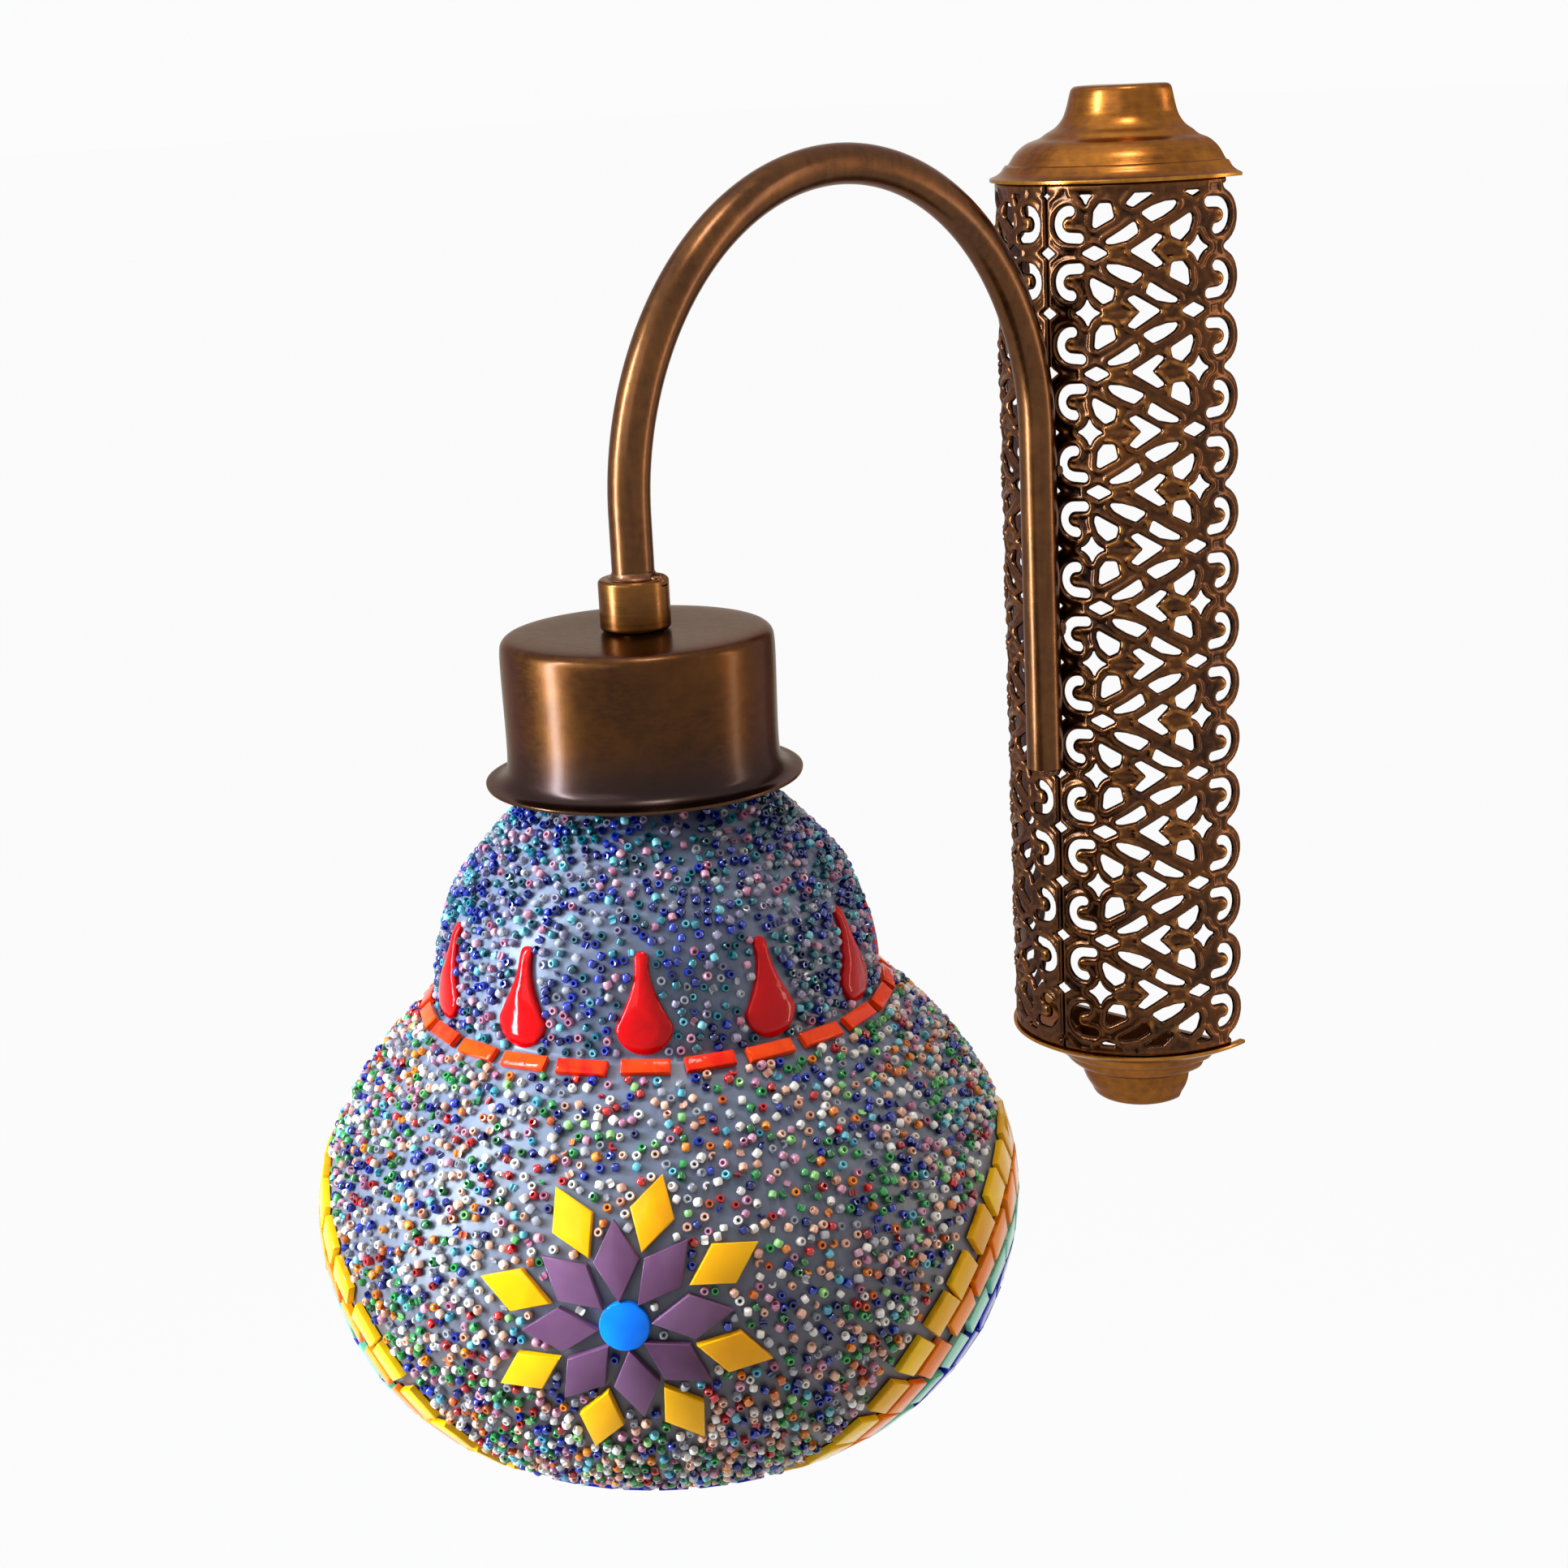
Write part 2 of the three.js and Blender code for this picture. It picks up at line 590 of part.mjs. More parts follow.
// Lamp holder, hung on the nipple
function holderCap() {
  const outside = [
    at(HOLDER_RADIUS, holderSplitZ),
    at(HOLDER_RADIUS, holderTopZ - HOLDER_SHOULDER),
    at(HOLDER_RADIUS - HOLDER_SHOULDER / 2, holderTopZ - HOLDER_SHOULDER / 5),
    at(HOLDER_RADIUS - HOLDER_SHOULDER, holderTopZ),
    at(nippleHole, holderTopZ),
  ];
  const inner = HOLDER_RADIUS - HOLDER_WALL;
  const inside = [
    at(nippleHole, holderTopZ - HOLDER_WALL),
    at(inner - HOLDER_SHOULDER, holderTopZ - HOLDER_WALL),
    at(inner, holderTopZ - HOLDER_SHOULDER - HOLDER_WALL),
    at(inner, holderSplitZ),
  ];
  return onLampAxis("holder_cap", [...outside, ...inside, outside[0]], SMALL_SEGMENTS, agedBrass);
}

function holderBody() {
  const profile = ringProfile(HOLDER_RADIUS - HOLDER_WALL, HOLDER_RADIUS, holderBottomZ, holderSplitZ - FIT);
  return onLampAxis("holder_body", profile, SMALL_SEGMENTS, agedBrass);
}

function porcelainInsert() {
  const radius = HOLDER_RADIUS - HOLDER_WALL - FIT;
  const profile = ringProfile(0, radius, insertBottomZ, insertBottomZ + INSERT_HEIGHT);
  return onLampAxis("porcelain_insert", profile, SMALL_SEGMENTS, porcelain);
}

function threadShell() {
  const top = insertBottomZ - FIT;
  const inner = THREAD_SHELL_RADIUS - THREAD_SHELL_WALL;
  const profile = ringProfile(inner, THREAD_SHELL_RADIUS, top - THREAD_SHELL_HEIGHT, top);
  return onLampAxis("thread_shell", profile, SMALL_SEGMENTS, brightBrass);
}

function centreContact() {
  const profile = ringProfile(0, CONTACT_RADIUS, contactBottomZ, contactBottomZ + CONTACT_THICKNESS);
  return onLampAxis("centre_contact", profile, SMALL_SEGMENTS, brightBrass);
}

// Bulb: a screw cap, and a thin glass envelope that is open into the cap
function bulbCap() {
  const bottom = bulbTopZ - BULB_CAP_LENGTH;
  const profile = [
    at(0, bottom),
    at(BULB_CAP_RADIUS, bottom),
    at(BULB_CAP_RADIUS, bulbTopZ - BULB_CAP_LENGTH / 5),
    at(CONTACT_RADIUS + 1, bulbTopZ - 1),
    at(CONTACT_RADIUS, bulbTopZ),
    at(0, bulbTopZ),
  ];
  return onLampAxis("bulb_cap", profile, SMALL_SEGMENTS, brightBrass);
}

function bulbEnvelope() {
  const neckZ = bulbTopZ - BULB_CAP_LENGTH - FIT;
  const centreZ = bulbTopZ - BULB_LENGTH + BULB_RADIUS;
  const neck = BULB_CAP_RADIUS - BULB_WALL;
  const ball = (radius, steps) =>
    Array.from({ length: steps + 1 }, (_, i) => {
      const angle = -Math.PI / 2 + (i * BULB_BALL_TURN) / steps;
      const across = i === 0 ? 0 : radius * Math.cos(angle);
      return at(across, centreZ + radius * Math.sin(angle));
    });
  const outside = [...ball(BULB_RADIUS, 7), at(neck, neckZ)];
  const inside = [at(neck - BULB_WALL, neckZ), ...ball(BULB_RADIUS - BULB_WALL, 5).reverse()];
  return onLampAxis("bulb_glass", [...outside, ...inside], SMALL_SEGMENTS, bulbGlass);
}

// Globe outline from the foot of the neck down, as shares of the radius and of the drop. The waist, where
// the narrow upper lobe meets the round lower one, is a crease.
const UPPER_LOBE = [[0.305, 0.005], [0.36, 0.047], [0.46, 0.1], [0.55, 0.157], [0.605, 0.242]];
const WAIST = [0.625, 0.314];
const LOWER_LOBE = [
  [0.73, 0.362],
  [0.88, 0.452],
  [0.975, 0.548],
  [1, 0.635],
  [0.979, 0.715],
  [0.904, 0.815],
  [0.748, 0.904],
  [0.52, 0.964],
  [0.26, 0.992],
  [0, 1],
];
const globePoint = ([radius, drop]) => at(radius * GLOBE_RADIUS, flangeZ - drop * GLOBE_DROP);
const neckFoot = at(NECK_RADIUS, globePoint(UPPER_LOBE[0]).y);
const upperLobe = [neckFoot, ...UPPER_LOBE.slice(1).map(globePoint)];
const waist = globePoint(WAIST);
const lowerLobe = LOWER_LOBE.map(globePoint);

// The outline moved outward by a distance, kept on the axis at its lowest point
function skin(line, distance) {
  const moved = offsetLine(line, distance);
  const lowest = line[line.length - 1];
  if (lowest.x === 0) moved[moved.length - 1] = at(0, lowest.y - distance);
  return moved;
}

function glassGlobe() {
  const outside = [at(NECK_RADIUS, glassLipZ), ...upperLobe, waist, ...lowerLobe];
  const kept = (point, i) => i < 2 || i % 2 === 1 || point === waist || i === outside.length - 1;
  const profile = [...[...outside].reverse(), ...skin(outside.filter(kept), -GLASS_WALL)];
  return globeMesh("glass_globe", geometryOfGlobe(profile, GLOBE_SEGMENTS), frostedGlass);
}

// The lathe starts at the first teardrop, so that every teardrop sits alike on the glass
function geometryOfGlobe(profile, segments) {
  const geometry = revolve(profile, segments);
  geometry.rotateZ(THREE.MathUtils.degToRad(FIRST_TEARDROP));
  return geometry;
}

function globeMesh(name, geometry, material) {
  const mesh = piece(name, geometry, material);
  mesh.position.y = lampY;
  return mesh;
}

function beadProfile(line) {
  const inside = skin(line, GLUE);
  const outside = skin(line, GLUE + BEAD_LAYER).reverse();
  if (outside[0].x === 0) return [...outside, ...inside];
  return [...inside, ...outside, inside[0]];
}

// A teardrop's flat outline: a round bulb below, and a slim neck with a rounded tip above
function teardropShape(grow) {
  const bulb = TEARDROP_WIDTH / 2 + grow;
  const tip = TEARDROP_TIP_RADIUS + grow;
  const bulbY = -TEARDROP_LENGTH / 2 + TEARDROP_WIDTH / 2;
  const tipY = TEARDROP_LENGTH / 2 - TEARDROP_TIP_RADIUS;
  const arc = (radius, y, from, to, count) =>
    Array.from({ length: count }, (_, i) => {
      const angle = from + ((to - from) * i) / (count - 1);
      return at(radius * Math.cos(angle), y + radius * Math.sin(angle));
    });
  const waistOut = (bulb + 3 * tip) / 4;
  const waistY = (bulbY + 2 * tipY) / 3;
  return new THREE.Shape([
    ...arc(bulb, bulbY, -Math.PI * 1.15, Math.PI * 0.15, 8),
    at(waistOut, waistY),
    ...arc(tip, tipY, 0, Math.PI, 3),
    at(-waistOut, waistY),
  ]);
}

// Where a teardrop lies: its chord on the upper lobe, and how far the glass bulges beyond that chord
function teardropSeat() {
  const line = [...upperLobe, waist];
  const footZ = waist.y + TEARDROP_FOOT_ABOVE_WAIST;
  const tipZ = footZ + TEARDROP_LENGTH * TEARDROP_UPRIGHT;
  const foot = at(radiusAt(line, footZ), footZ);
  const tip = at(radiusAt(line, tipZ), tipZ);
  const lean = Math.atan2(foot.x - tip.x, tip.y - footZ);
  const outward = at(Math.cos(lean), Math.sin(lean));
  const bulges = line
    .filter((point) => point.y >= footZ && point.y <= tipZ)
    .map((point) => (point.x - foot.x) * outward.x + (point.y - foot.y) * outward.y);
  const middle = at((foot.x + tip.x) / 2, (foot.y + tip.y) / 2);
  return { middle, lean, bulge: Math.max(0, ...bulges) };
}

function teardropGeometry(index, grow, low, high) {
  const { middle, lean, bulge } = teardropSeat();
  const geometry = new THREE.ExtrudeGeometry(teardropShape(grow), { depth: high - low, bevelEnabled: false });
  geometry.translate(0, 0, low + bulge + GLUE);
  geometry.rotateX(Math.PI / 2);
  geometry.rotateX(-lean);
  geometry.translate(0, -middle.x, middle.y);
  geometry.rotateZ(THREE.MathUtils.degToRad(FIRST_TEARDROP) + (2 * Math.PI * index) / TEARDROPS);
  return geometry;
}

function teardropTile(index) {
  const name = `teardrop_tile_${String(index + 1).padStart(2, "0")}`;
  return globeMesh(name, teardropGeometry(index, 0, 0, TILE_THICKNESS), redGlass);
}

// Beads fill the upper lobe round the teardrops, down to just above the waist
function upperBeads() {
  const endZ = waist.y + BEADS_ABOVE_WAIST;
  const end = at(radiusAt([...upperLobe, waist], endZ), endZ);
  let coat = solidFrom(geometryOfGlobe(beadProfile([...upperLobe, end]), GLOBE_SEGMENTS));
  for (let index = 0; index < TEARDROPS; index++) {
    const around = teardropGeometry(index, GLUE, -2 * BEAD_LAYER, 3 * BEAD_LAYER);
    coat = coat.subtract(solidFrom(around));
  }
  return globeMesh("bead_coat_upper", geometryFrom(coat), beadMix);
}

// A point on the slope just below the waist: so far down it, and so far out from the glass
function belowWaist(along, out) {
  const slope = lowerLobe[0].clone().sub(waist).normalize();
  return at(waist.x + slope.x * along - slope.y * out, waist.y + slope.y * along + slope.x * out);
}

// The corners of the ring of flat tiles reach further out than its flats
const bandCorner = 1 / Math.cos(Math.PI / BAND_TILES);
const bandCornerReach = (bandCorner - 1) * waist.x;

function lowerBeads() {
  const start = BAND_BELOW_WAIST + BAND_TILE_HEIGHT + bandCornerReach + BAND_TO_BEADS;
  const profile = beadProfile([belowWaist(start, 0), ...lowerLobe]);
  return globeMesh("bead_coat_lower", geometryOfGlobe(profile, GLOBE_SEGMENTS), beadMix);
}

// One flat per tile. The flats, not the corners, keep the glue's distance from the glass.
function tileBand() {
  const bottom = BAND_BELOW_WAIST + BAND_TILE_HEIGHT;
  const outer = GLUE + TILE_THICKNESS;
  const profile = [
    belowWaist(bottom, GLUE),
    belowWaist(bottom, outer),
    belowWaist(BAND_BELOW_WAIST, outer),
    belowWaist(BAND_BELOW_WAIST, GLUE),
    belowWaist(bottom, GLUE),
  ].map((point) => at(point.x * bandCorner, point.y));
  return globeMesh("tile_band", geometryOfGlobe(profile, BAND_TILES), orangeGlass);
}

const upperStrapLow = STRAP_LIFT;
const lowerStrapLow = -STRAP_LIFT - STRAP_HEIGHT;

export default new THREE.Group().add(
  topCap(),
  bottomCap(),
  filigreeBand("filigree_band_right", 1),
  filigreeBand("filigree_band_left", -1),
  fixingStrap("upper_strap", topInner, upperStrapLow, topRimZ),
  fixingStrap("lower_strap", bottomInner, lowerStrapLow, bottomRimZ),
  armTube(),
  armCollar(),
  fitterCup(),
  threadedNipple(),
  clipPlate(),
  lockNut(),
  ...Array.from({ length: CLIPS }, (_, index) => springClip(index)),
  holderCap(),
  holderBody(),
  porcelainInsert(),
  threadShell(),
  centreContact(),
  bulbCap(),
  bulbEnvelope(),
  glassGlobe(),
  upperBeads(),
  lowerBeads(),
  tileBand(),
  ...Array.from({ length: TEARDROPS }, (_, index) => teardropTile(index)),
);
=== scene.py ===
# %% [markdown]
# A mosaic wall lamp
#
# A round glass globe hangs under a brass cup, and a bent tube carries the cup from a pierced brass
# column that is screwed to the wall. The globe is covered by hand with glass beads and cut tiles.
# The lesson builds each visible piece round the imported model, which gives every size and place.

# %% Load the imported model
import math
import random

import bmesh
import bpy
import numpy as np
from mathutils import Matrix, Vector, noise


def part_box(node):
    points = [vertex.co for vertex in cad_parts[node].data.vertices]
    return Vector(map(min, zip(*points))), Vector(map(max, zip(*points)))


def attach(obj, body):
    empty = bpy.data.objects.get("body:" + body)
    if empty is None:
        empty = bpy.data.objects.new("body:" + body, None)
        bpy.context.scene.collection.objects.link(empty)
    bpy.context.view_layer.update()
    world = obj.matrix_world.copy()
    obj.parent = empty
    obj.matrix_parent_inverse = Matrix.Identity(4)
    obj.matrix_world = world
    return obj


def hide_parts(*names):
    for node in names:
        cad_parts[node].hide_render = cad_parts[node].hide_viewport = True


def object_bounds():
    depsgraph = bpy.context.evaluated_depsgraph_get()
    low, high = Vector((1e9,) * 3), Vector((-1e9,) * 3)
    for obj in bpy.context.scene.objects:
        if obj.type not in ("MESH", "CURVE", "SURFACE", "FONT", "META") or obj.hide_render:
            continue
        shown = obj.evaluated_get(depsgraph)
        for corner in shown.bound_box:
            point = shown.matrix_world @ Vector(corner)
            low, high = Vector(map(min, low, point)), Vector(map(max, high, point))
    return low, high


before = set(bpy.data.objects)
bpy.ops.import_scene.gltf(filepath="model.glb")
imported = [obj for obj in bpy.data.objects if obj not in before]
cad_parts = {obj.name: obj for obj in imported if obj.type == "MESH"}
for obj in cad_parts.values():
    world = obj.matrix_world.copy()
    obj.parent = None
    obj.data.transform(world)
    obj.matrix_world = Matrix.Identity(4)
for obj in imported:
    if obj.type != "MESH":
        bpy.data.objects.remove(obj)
packed_low, packed_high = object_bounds()
print("packed model, metres:", [round(v, 4) for v in (*packed_low, *packed_high)])

# %% [markdown]
# Camera
#
# The photograph looks down a little from the lamp's front right corner, and its frame leans by
# under three degrees. Three turns and a place say all of that, so the camera is set from them
# instead of being aimed at a target.

# %% Set the camera
MM = 0.001
CAMERA_YAW = math.radians(44.5)
CAMERA_PITCH = math.radians(14.61)
CAMERA_ROLL = math.radians(-2.765)
CAMERA_PLACE = Vector((561.07, -745.02, 33.6)) * MM
CAMERA_LENS = 63.43
SENSOR_WIDTH = 36

look = Vector((-math.sin(CAMERA_YAW) * math.cos(CAMERA_PITCH),
               math.cos(CAMERA_YAW) * math.cos(CAMERA_PITCH),
               -math.sin(CAMERA_PITCH)))
side = Vector((math.cos(CAMERA_YAW), math.sin(CAMERA_YAW), 0))
rise = side.cross(look)
right = side * math.cos(CAMERA_ROLL) + rise * math.sin(CAMERA_ROLL)
upward = rise * math.cos(CAMERA_ROLL) - side * math.sin(CAMERA_ROLL)

camera_data = bpy.data.cameras.new("camera")
camera_data.lens = CAMERA_LENS
camera_data.sensor_width = SENSOR_WIDTH
camera = bpy.data.objects.new("camera", camera_data)
turned = Matrix((right, upward, -look)).transposed().to_4x4()
camera.matrix_world = Matrix.Translation(CAMERA_PLACE) @ turned
bpy.context.scene.collection.objects.link(camera)
bpy.context.scene.camera = camera
print("camera", tuple(round(v, 3) for v in camera.location), "lens", camera_data.lens)

# %% [markdown]
# Small helpers
#
# Sizes are easier to read in millimetres, so points are worked out in millimetres and only become
# metres when a mesh is made. Each mesh gets smooth shading, with edges over a set angle kept crisp,
# and rides on the body that carries it.

# %% Make a mesh that rides on a body
CRISP_ANGLE = math.radians(38)


def mesh_piece(name, points, faces, body, crisp=CRISP_ANGLE):
    mesh = bpy.data.meshes.new(name)
    mesh.from_pydata([tuple(p) for p in np.asarray(points, float) * MM], [], faces)
    work = bmesh.new()
    work.from_mesh(mesh)
    bmesh.ops.recalc_face_normals(work, faces=work.faces)
    work.to_mesh(mesh)
    work.free()
    mesh.shade_smooth()
    mesh.set_sharp_from_angle(angle=crisp)
    made = bpy.data.objects.new(name, mesh)
    bpy.context.scene.collection.objects.link(made)
    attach(made, body)
    return made


def keep_values(piece, name, values):
    """One number per point, which a material can read by its name."""
    layer = piece.data.attributes.new(name, "FLOAT", "POINT")
    layer.data.foreach_set("value", np.asarray(values, np.float32))


def box_of(node):
    low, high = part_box(node)
    return np.array(low) / MM, np.array(high) / MM


globe_low, globe_high = box_of("glass_globe")
LAMP_Y = (globe_low[1] + globe_high[1]) / 2
COLUMN_RADIUS = box_of("filigree_band_right")[1][0]
CUP_FOOT = box_of("fitter_cup")[0][2]
print("lamp axis at y", round(LAMP_Y, 1), "column radius", round(COLUMN_RADIUS, 2),
      "foot of the cup at", round(CUP_FOOT, 1))

# %% [markdown]
# Spun pieces
#
# The cup, the caps and the globe are round because each was spun or blown: a sheet is pressed over
# a turning form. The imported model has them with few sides. A plane through the axis cuts the true
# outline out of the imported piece. The outline is then smoothed between its corners, the corners are
# eased, and it is turned round the axis again in many more steps.

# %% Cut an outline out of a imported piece
WELD = 1e-6
PAST_THE_EDGE = math.radians(0.02)
AXIS_MARGIN = 1e-5


def outline_of(node, axis_y):
    """Points (radius, height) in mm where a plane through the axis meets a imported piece."""
    work = bmesh.new()
    work.from_mesh(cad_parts[node].data)
    bmesh.ops.remove_doubles(work, verts=work.verts, dist=WELD)
    centre = Vector((0, axis_y * MM, 0))
    widest = max(work.verts, key=lambda v: round((v.co - centre).xy.length, 6)).co - centre
    azimuth = math.atan2(widest.x, -widest.y) + PAST_THE_EDGE
    outward = Vector((math.sin(azimuth), -math.cos(azimuth), 0))
    across = Vector((math.cos(azimuth), math.sin(azimuth), 0))
    everything = work.verts[:] + work.edges[:] + work.faces[:]
    cut = bmesh.ops.bisect_plane(work, geom=everything, plane_co=centre, plane_no=across)
    links = {}
    for edge in cut["geom_cut"]:
        if not isinstance(edge, bmesh.types.BMEdge):
            continue
        first, second = edge.verts
        if min((first.co - centre).dot(outward), (second.co - centre).dot(outward)) > -AXIS_MARGIN:
            links.setdefault(first, []).append(second)
            links.setdefault(second, []).append(first)
    ends = [v for v in links if len(links[v]) == 1]
    here = ends[0] if ends else next(iter(links))
    chain, seen = [], set()
    while here is not None:
        seen.add(here)
        chain.append(((here.co - centre).dot(outward) / MM, here.co.z / MM))
        here = next((v for v in links[here] if v not in seen), None)
    work.free()
    return np.array(chain), not ends


# %% Smooth an outline between its corners
SAME_POINT = 0.03
STRAIGHT = math.radians(0.8)
CORNER = 38
EASE = 0.25
EASED_SHARE = 0.3


def turn_at(before, point, after):
    first, second = point - before, after - point
    return math.atan2(first[0] * second[1] - first[1] * second[0], first @ second)


def tidy_outline(points, closed):
    kept = [points[0]]
    for point in points[1:]:
        if np.hypot(*(point - kept[-1])) > SAME_POINT:
            kept.append(point)
    if closed and np.hypot(*(kept[0] - kept[-1])) < SAME_POINT:
        kept.pop()
    count = len(kept)
    inner = range(count) if closed else range(1, count - 1)
    straight = {i for i in inner
                if abs(turn_at(kept[i - 1], kept[i], kept[(i + 1) % count])) < STRAIGHT}
    return np.array([p for i, p in enumerate(kept) if i not in straight])


def smooth_run(points, step):
    """A smooth curve through the points, with about one point per step."""
    if len(points) < 3:
        return [points[0], points[-1]]
    ends = [2 * points[0] - points[1], *points, 2 * points[-1] - points[-2]]
    made = []
    for p0, p1, p2, p3 in zip(ends, ends[1:], ends[2:], ends[3:]):
        k1, k2, k3 = (max(np.hypot(*(b - a)), WELD) ** 0.5
                      for a, b in ((p0, p1), (p1, p2), (p2, p3)))
        lean1 = (p1 - p0) / k1 - (p2 - p0) / (k1 + k2) + (p2 - p1) / k2
        lean2 = (p2 - p1) / k2 - (p3 - p1) / (k2 + k3) + (p3 - p2) / k3
        count = max(1, round(np.hypot(*(p2 - p1)) / step))
        for i in range(count):
            t = i / count
            made.append((2 * t ** 3 - 3 * t ** 2 + 1) * p1 + (3 * t ** 2 - 2 * t ** 3) * p2
                        + ((t ** 3 - 2 * t ** 2 + t) * lean1 + (t ** 3 - t ** 2) * lean2) * k2)
    made.append(points[-1])
    return made


def smooth_outline(points, closed, step=0.8, ease=EASE, corner=CORNER):
    """The outline made smooth, and its sharp corners eased over the given length."""
    points = tidy_outline(points, closed)
    count = len(points)
    ends = {0, count - 1} if not closed else set()
    inner = range(count) if closed else range(1, count - 1)
    sharp = sorted(ends | {i for i in inner if abs(turn_at(
        points[i - 1], points[i], points[(i + 1) % count])) > math.radians(corner)})
    if not sharp:
        sharp = [0]
    legs = list(zip(sharp, sharp[1:]))
    if closed:
        legs.append((sharp[-1], sharp[0] + count))
    runs = [smooth_run([points[k % count] for k in range(a, b + 1)], step) for a, b in legs]
    made = [] if closed else [runs[0][0]]
    for number, run in enumerate(runs):
        if number or closed:
            made += eased_corner(runs[number - 1][-2], run[0], run[1], ease)
        made += run[1:-1]
    if not closed:
        made.append(runs[-1][-1])
    return np.array(made)


def eased_corner(before, point, after, ease):
    back, forth = before - point, after - point
    back_length, forth_length = np.hypot(*back), np.hypot(*forth)
    size = min(ease, EASED_SHARE * back_length, EASED_SHARE * forth_length)
    back, forth = back / back_length * size, forth / forth_length * size
    return [point + 2 * back, point + back, point + (back + forth) / 4,
            point + forth, point + 2 * forth]


# %% Turn an outline round its axis
CRISPEST_TURN = 1.2
ON_AXIS = 0.02


def rounding(points, closed, spread=0.8):
    """How much the outline bulges at each point, from 0 in a flat or hollow to 1 on a crisp edge."""
    shifted = np.roll(points, -1, 0)
    area = np.sum(points[:, 0] * shifted[:, 1] - shifted[:, 0] * points[:, 1])
    count = len(points)
    turns = np.zeros(count)
    for i in range(count) if closed else range(1, count - 1):
        turns[i] = turn_at(points[i - 1], points[i], points[(i + 1) % count]) * np.sign(area)
    steps = np.hypot(*(points - np.roll(points, 1, 0)).T)
    along = np.cumsum(steps) - steps[0]
    worn = [np.sum(turns * np.exp(-((along - a) / spread) ** 2)) for a in along]
    return np.clip(np.array(worn) / CRISPEST_TURN, 0, 1)


def turned_piece(name, outline, closed, axis_y, body, slot, steps=144, start=0.0, sweep=360.0):
    worn = rounding(outline, closed)
    whole = sweep >= 360
    rings = steps if whole else steps + 1
    on_axis = [abs(r) < ON_AXIS for r, _ in outline]
    points, number, values = [], {}, []
    for k in range(rings):
        azimuth = math.radians(start + sweep * k / steps)
        for i, (radius, height) in enumerate(outline):
            if on_axis[i] and k:
                number[k, i] = number[0, i]
                continue
            number[k, i] = len(points)
            points.append((radius * math.sin(azimuth), axis_y - radius * math.cos(azimuth), height))
            values.append(worn[i])
    count = len(outline)
    spans = count if closed else count - 1
    faces = []
    for k in range(steps):
        after = (k + 1) % rings
        for i in range(spans):
            j = (i + 1) % count
            loop = [number[k, i], number[after, i], number[after, j], number[k, j]]
            loop = [v for n, v in enumerate(loop) if v not in loop[:n]]
            if len(loop) > 2:
                faces.append(loop)
    if not whole:
        faces += [[number[k, i] for i in range(count)] for k in (0, rings - 1)]
    made = mesh_piece(name, points, faces, body)
    keep_values(made, "rounding", values)
    return made


def spun(name, node, axis_y, body, slot, ease=EASE, corner=CORNER, **options):
    outline, closed = outline_of(node, axis_y)
    outline = smooth_outline(outline, closed, ease=ease, corner=corner)
    made = turned_piece(name, outline, closed, axis_y, body, slot, **options)
    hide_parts(node)
    print(name, "outline of", len(outline), "points,", len(made.data.polygons), "faces")
    return made


# %% [markdown]
# The cup, the collar, the caps and the bulb
#
# The cup was spun from thin sheet with a flat top and a curled flange, and a small turned collar
# joins it to the tube. The two caps of the column are half rounds with stepped outlines, open
# towards the wall, so they turn through half a circle only. The bulb is round, so it is spun too.

# %% Spin the cup, the collar, the caps and the bulb
HALF_ROUND = {"steps": 96, "start": -90.0, "sweep": 180.0}
BULB_STEPS = 72
cup = spun("cup_shell", "fitter_cup", LAMP_Y, "shade_carrier", "aged_brass", ease=0.3)
collar = spun("collar_ring", "arm_collar", LAMP_Y, "wall_bracket", "aged_brass", ease=0.4)
cap_top = spun("column_cap_top", "top_cap", 0.0, "wall_bracket", "aged_brass", **HALF_ROUND)
cap_bottom = spun("column_cap_bottom", "bottom_cap", 0.0, "wall_bracket", "aged_brass",
                  **HALF_ROUND)
bulb_ball = spun("bulb_ball", "bulb_glass", LAMP_Y, "bulb", "bulb_glass", corner=60,
                 steps=BULB_STEPS)
bulb_foot = spun("bulb_foot", "bulb_cap", LAMP_Y, "bulb", "spring_steel", steps=BULB_STEPS)

# %% [markdown]
# The bent tube
#
# One brass tube runs up the column, bends over in a half circle and comes down on the collar. A
# ring of points is carried along that path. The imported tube's box gives its ends and its top, and
# the tube's own diameter and wall are the only measures written here.

# %% Carry a ring along the arch
tube_low, tube_high = box_of("arm_tube")
TUBE_RADIUS = 6.0
TUBE_WALL = 1.2
TUBE_SIDES = 48
LEG_STEPS = 24
ARCH_STEPS = 96
COLLAR_GAP = 0.3
ARCH_RADIUS = (tube_high[1] - tube_low[1]) / 2 - TUBE_RADIUS
arch_y = (tube_high[1] + tube_low[1]) / 2
arch_z = tube_high[2] - TUBE_RADIUS - ARCH_RADIUS
collar_top = box_of("arm_collar")[1][2]


def arch_path():
    """Points along the tube with the direction across it, in the plane of the arch."""
    path = [((arch_y + ARCH_RADIUS, z), (1.0, 0.0))
            for z in np.linspace(tube_low[2], arch_z, LEG_STEPS)[:-1]]
    for angle in np.linspace(0, math.pi, ARCH_STEPS + 1):
        across = (math.cos(angle), math.sin(angle))
        path.append(((arch_y + ARCH_RADIUS * across[0], arch_z + ARCH_RADIUS * across[1]),
                     across))
    path.append(((arch_y - ARCH_RADIUS, collar_top + COLLAR_GAP), (-1.0, 0.0)))
    return path


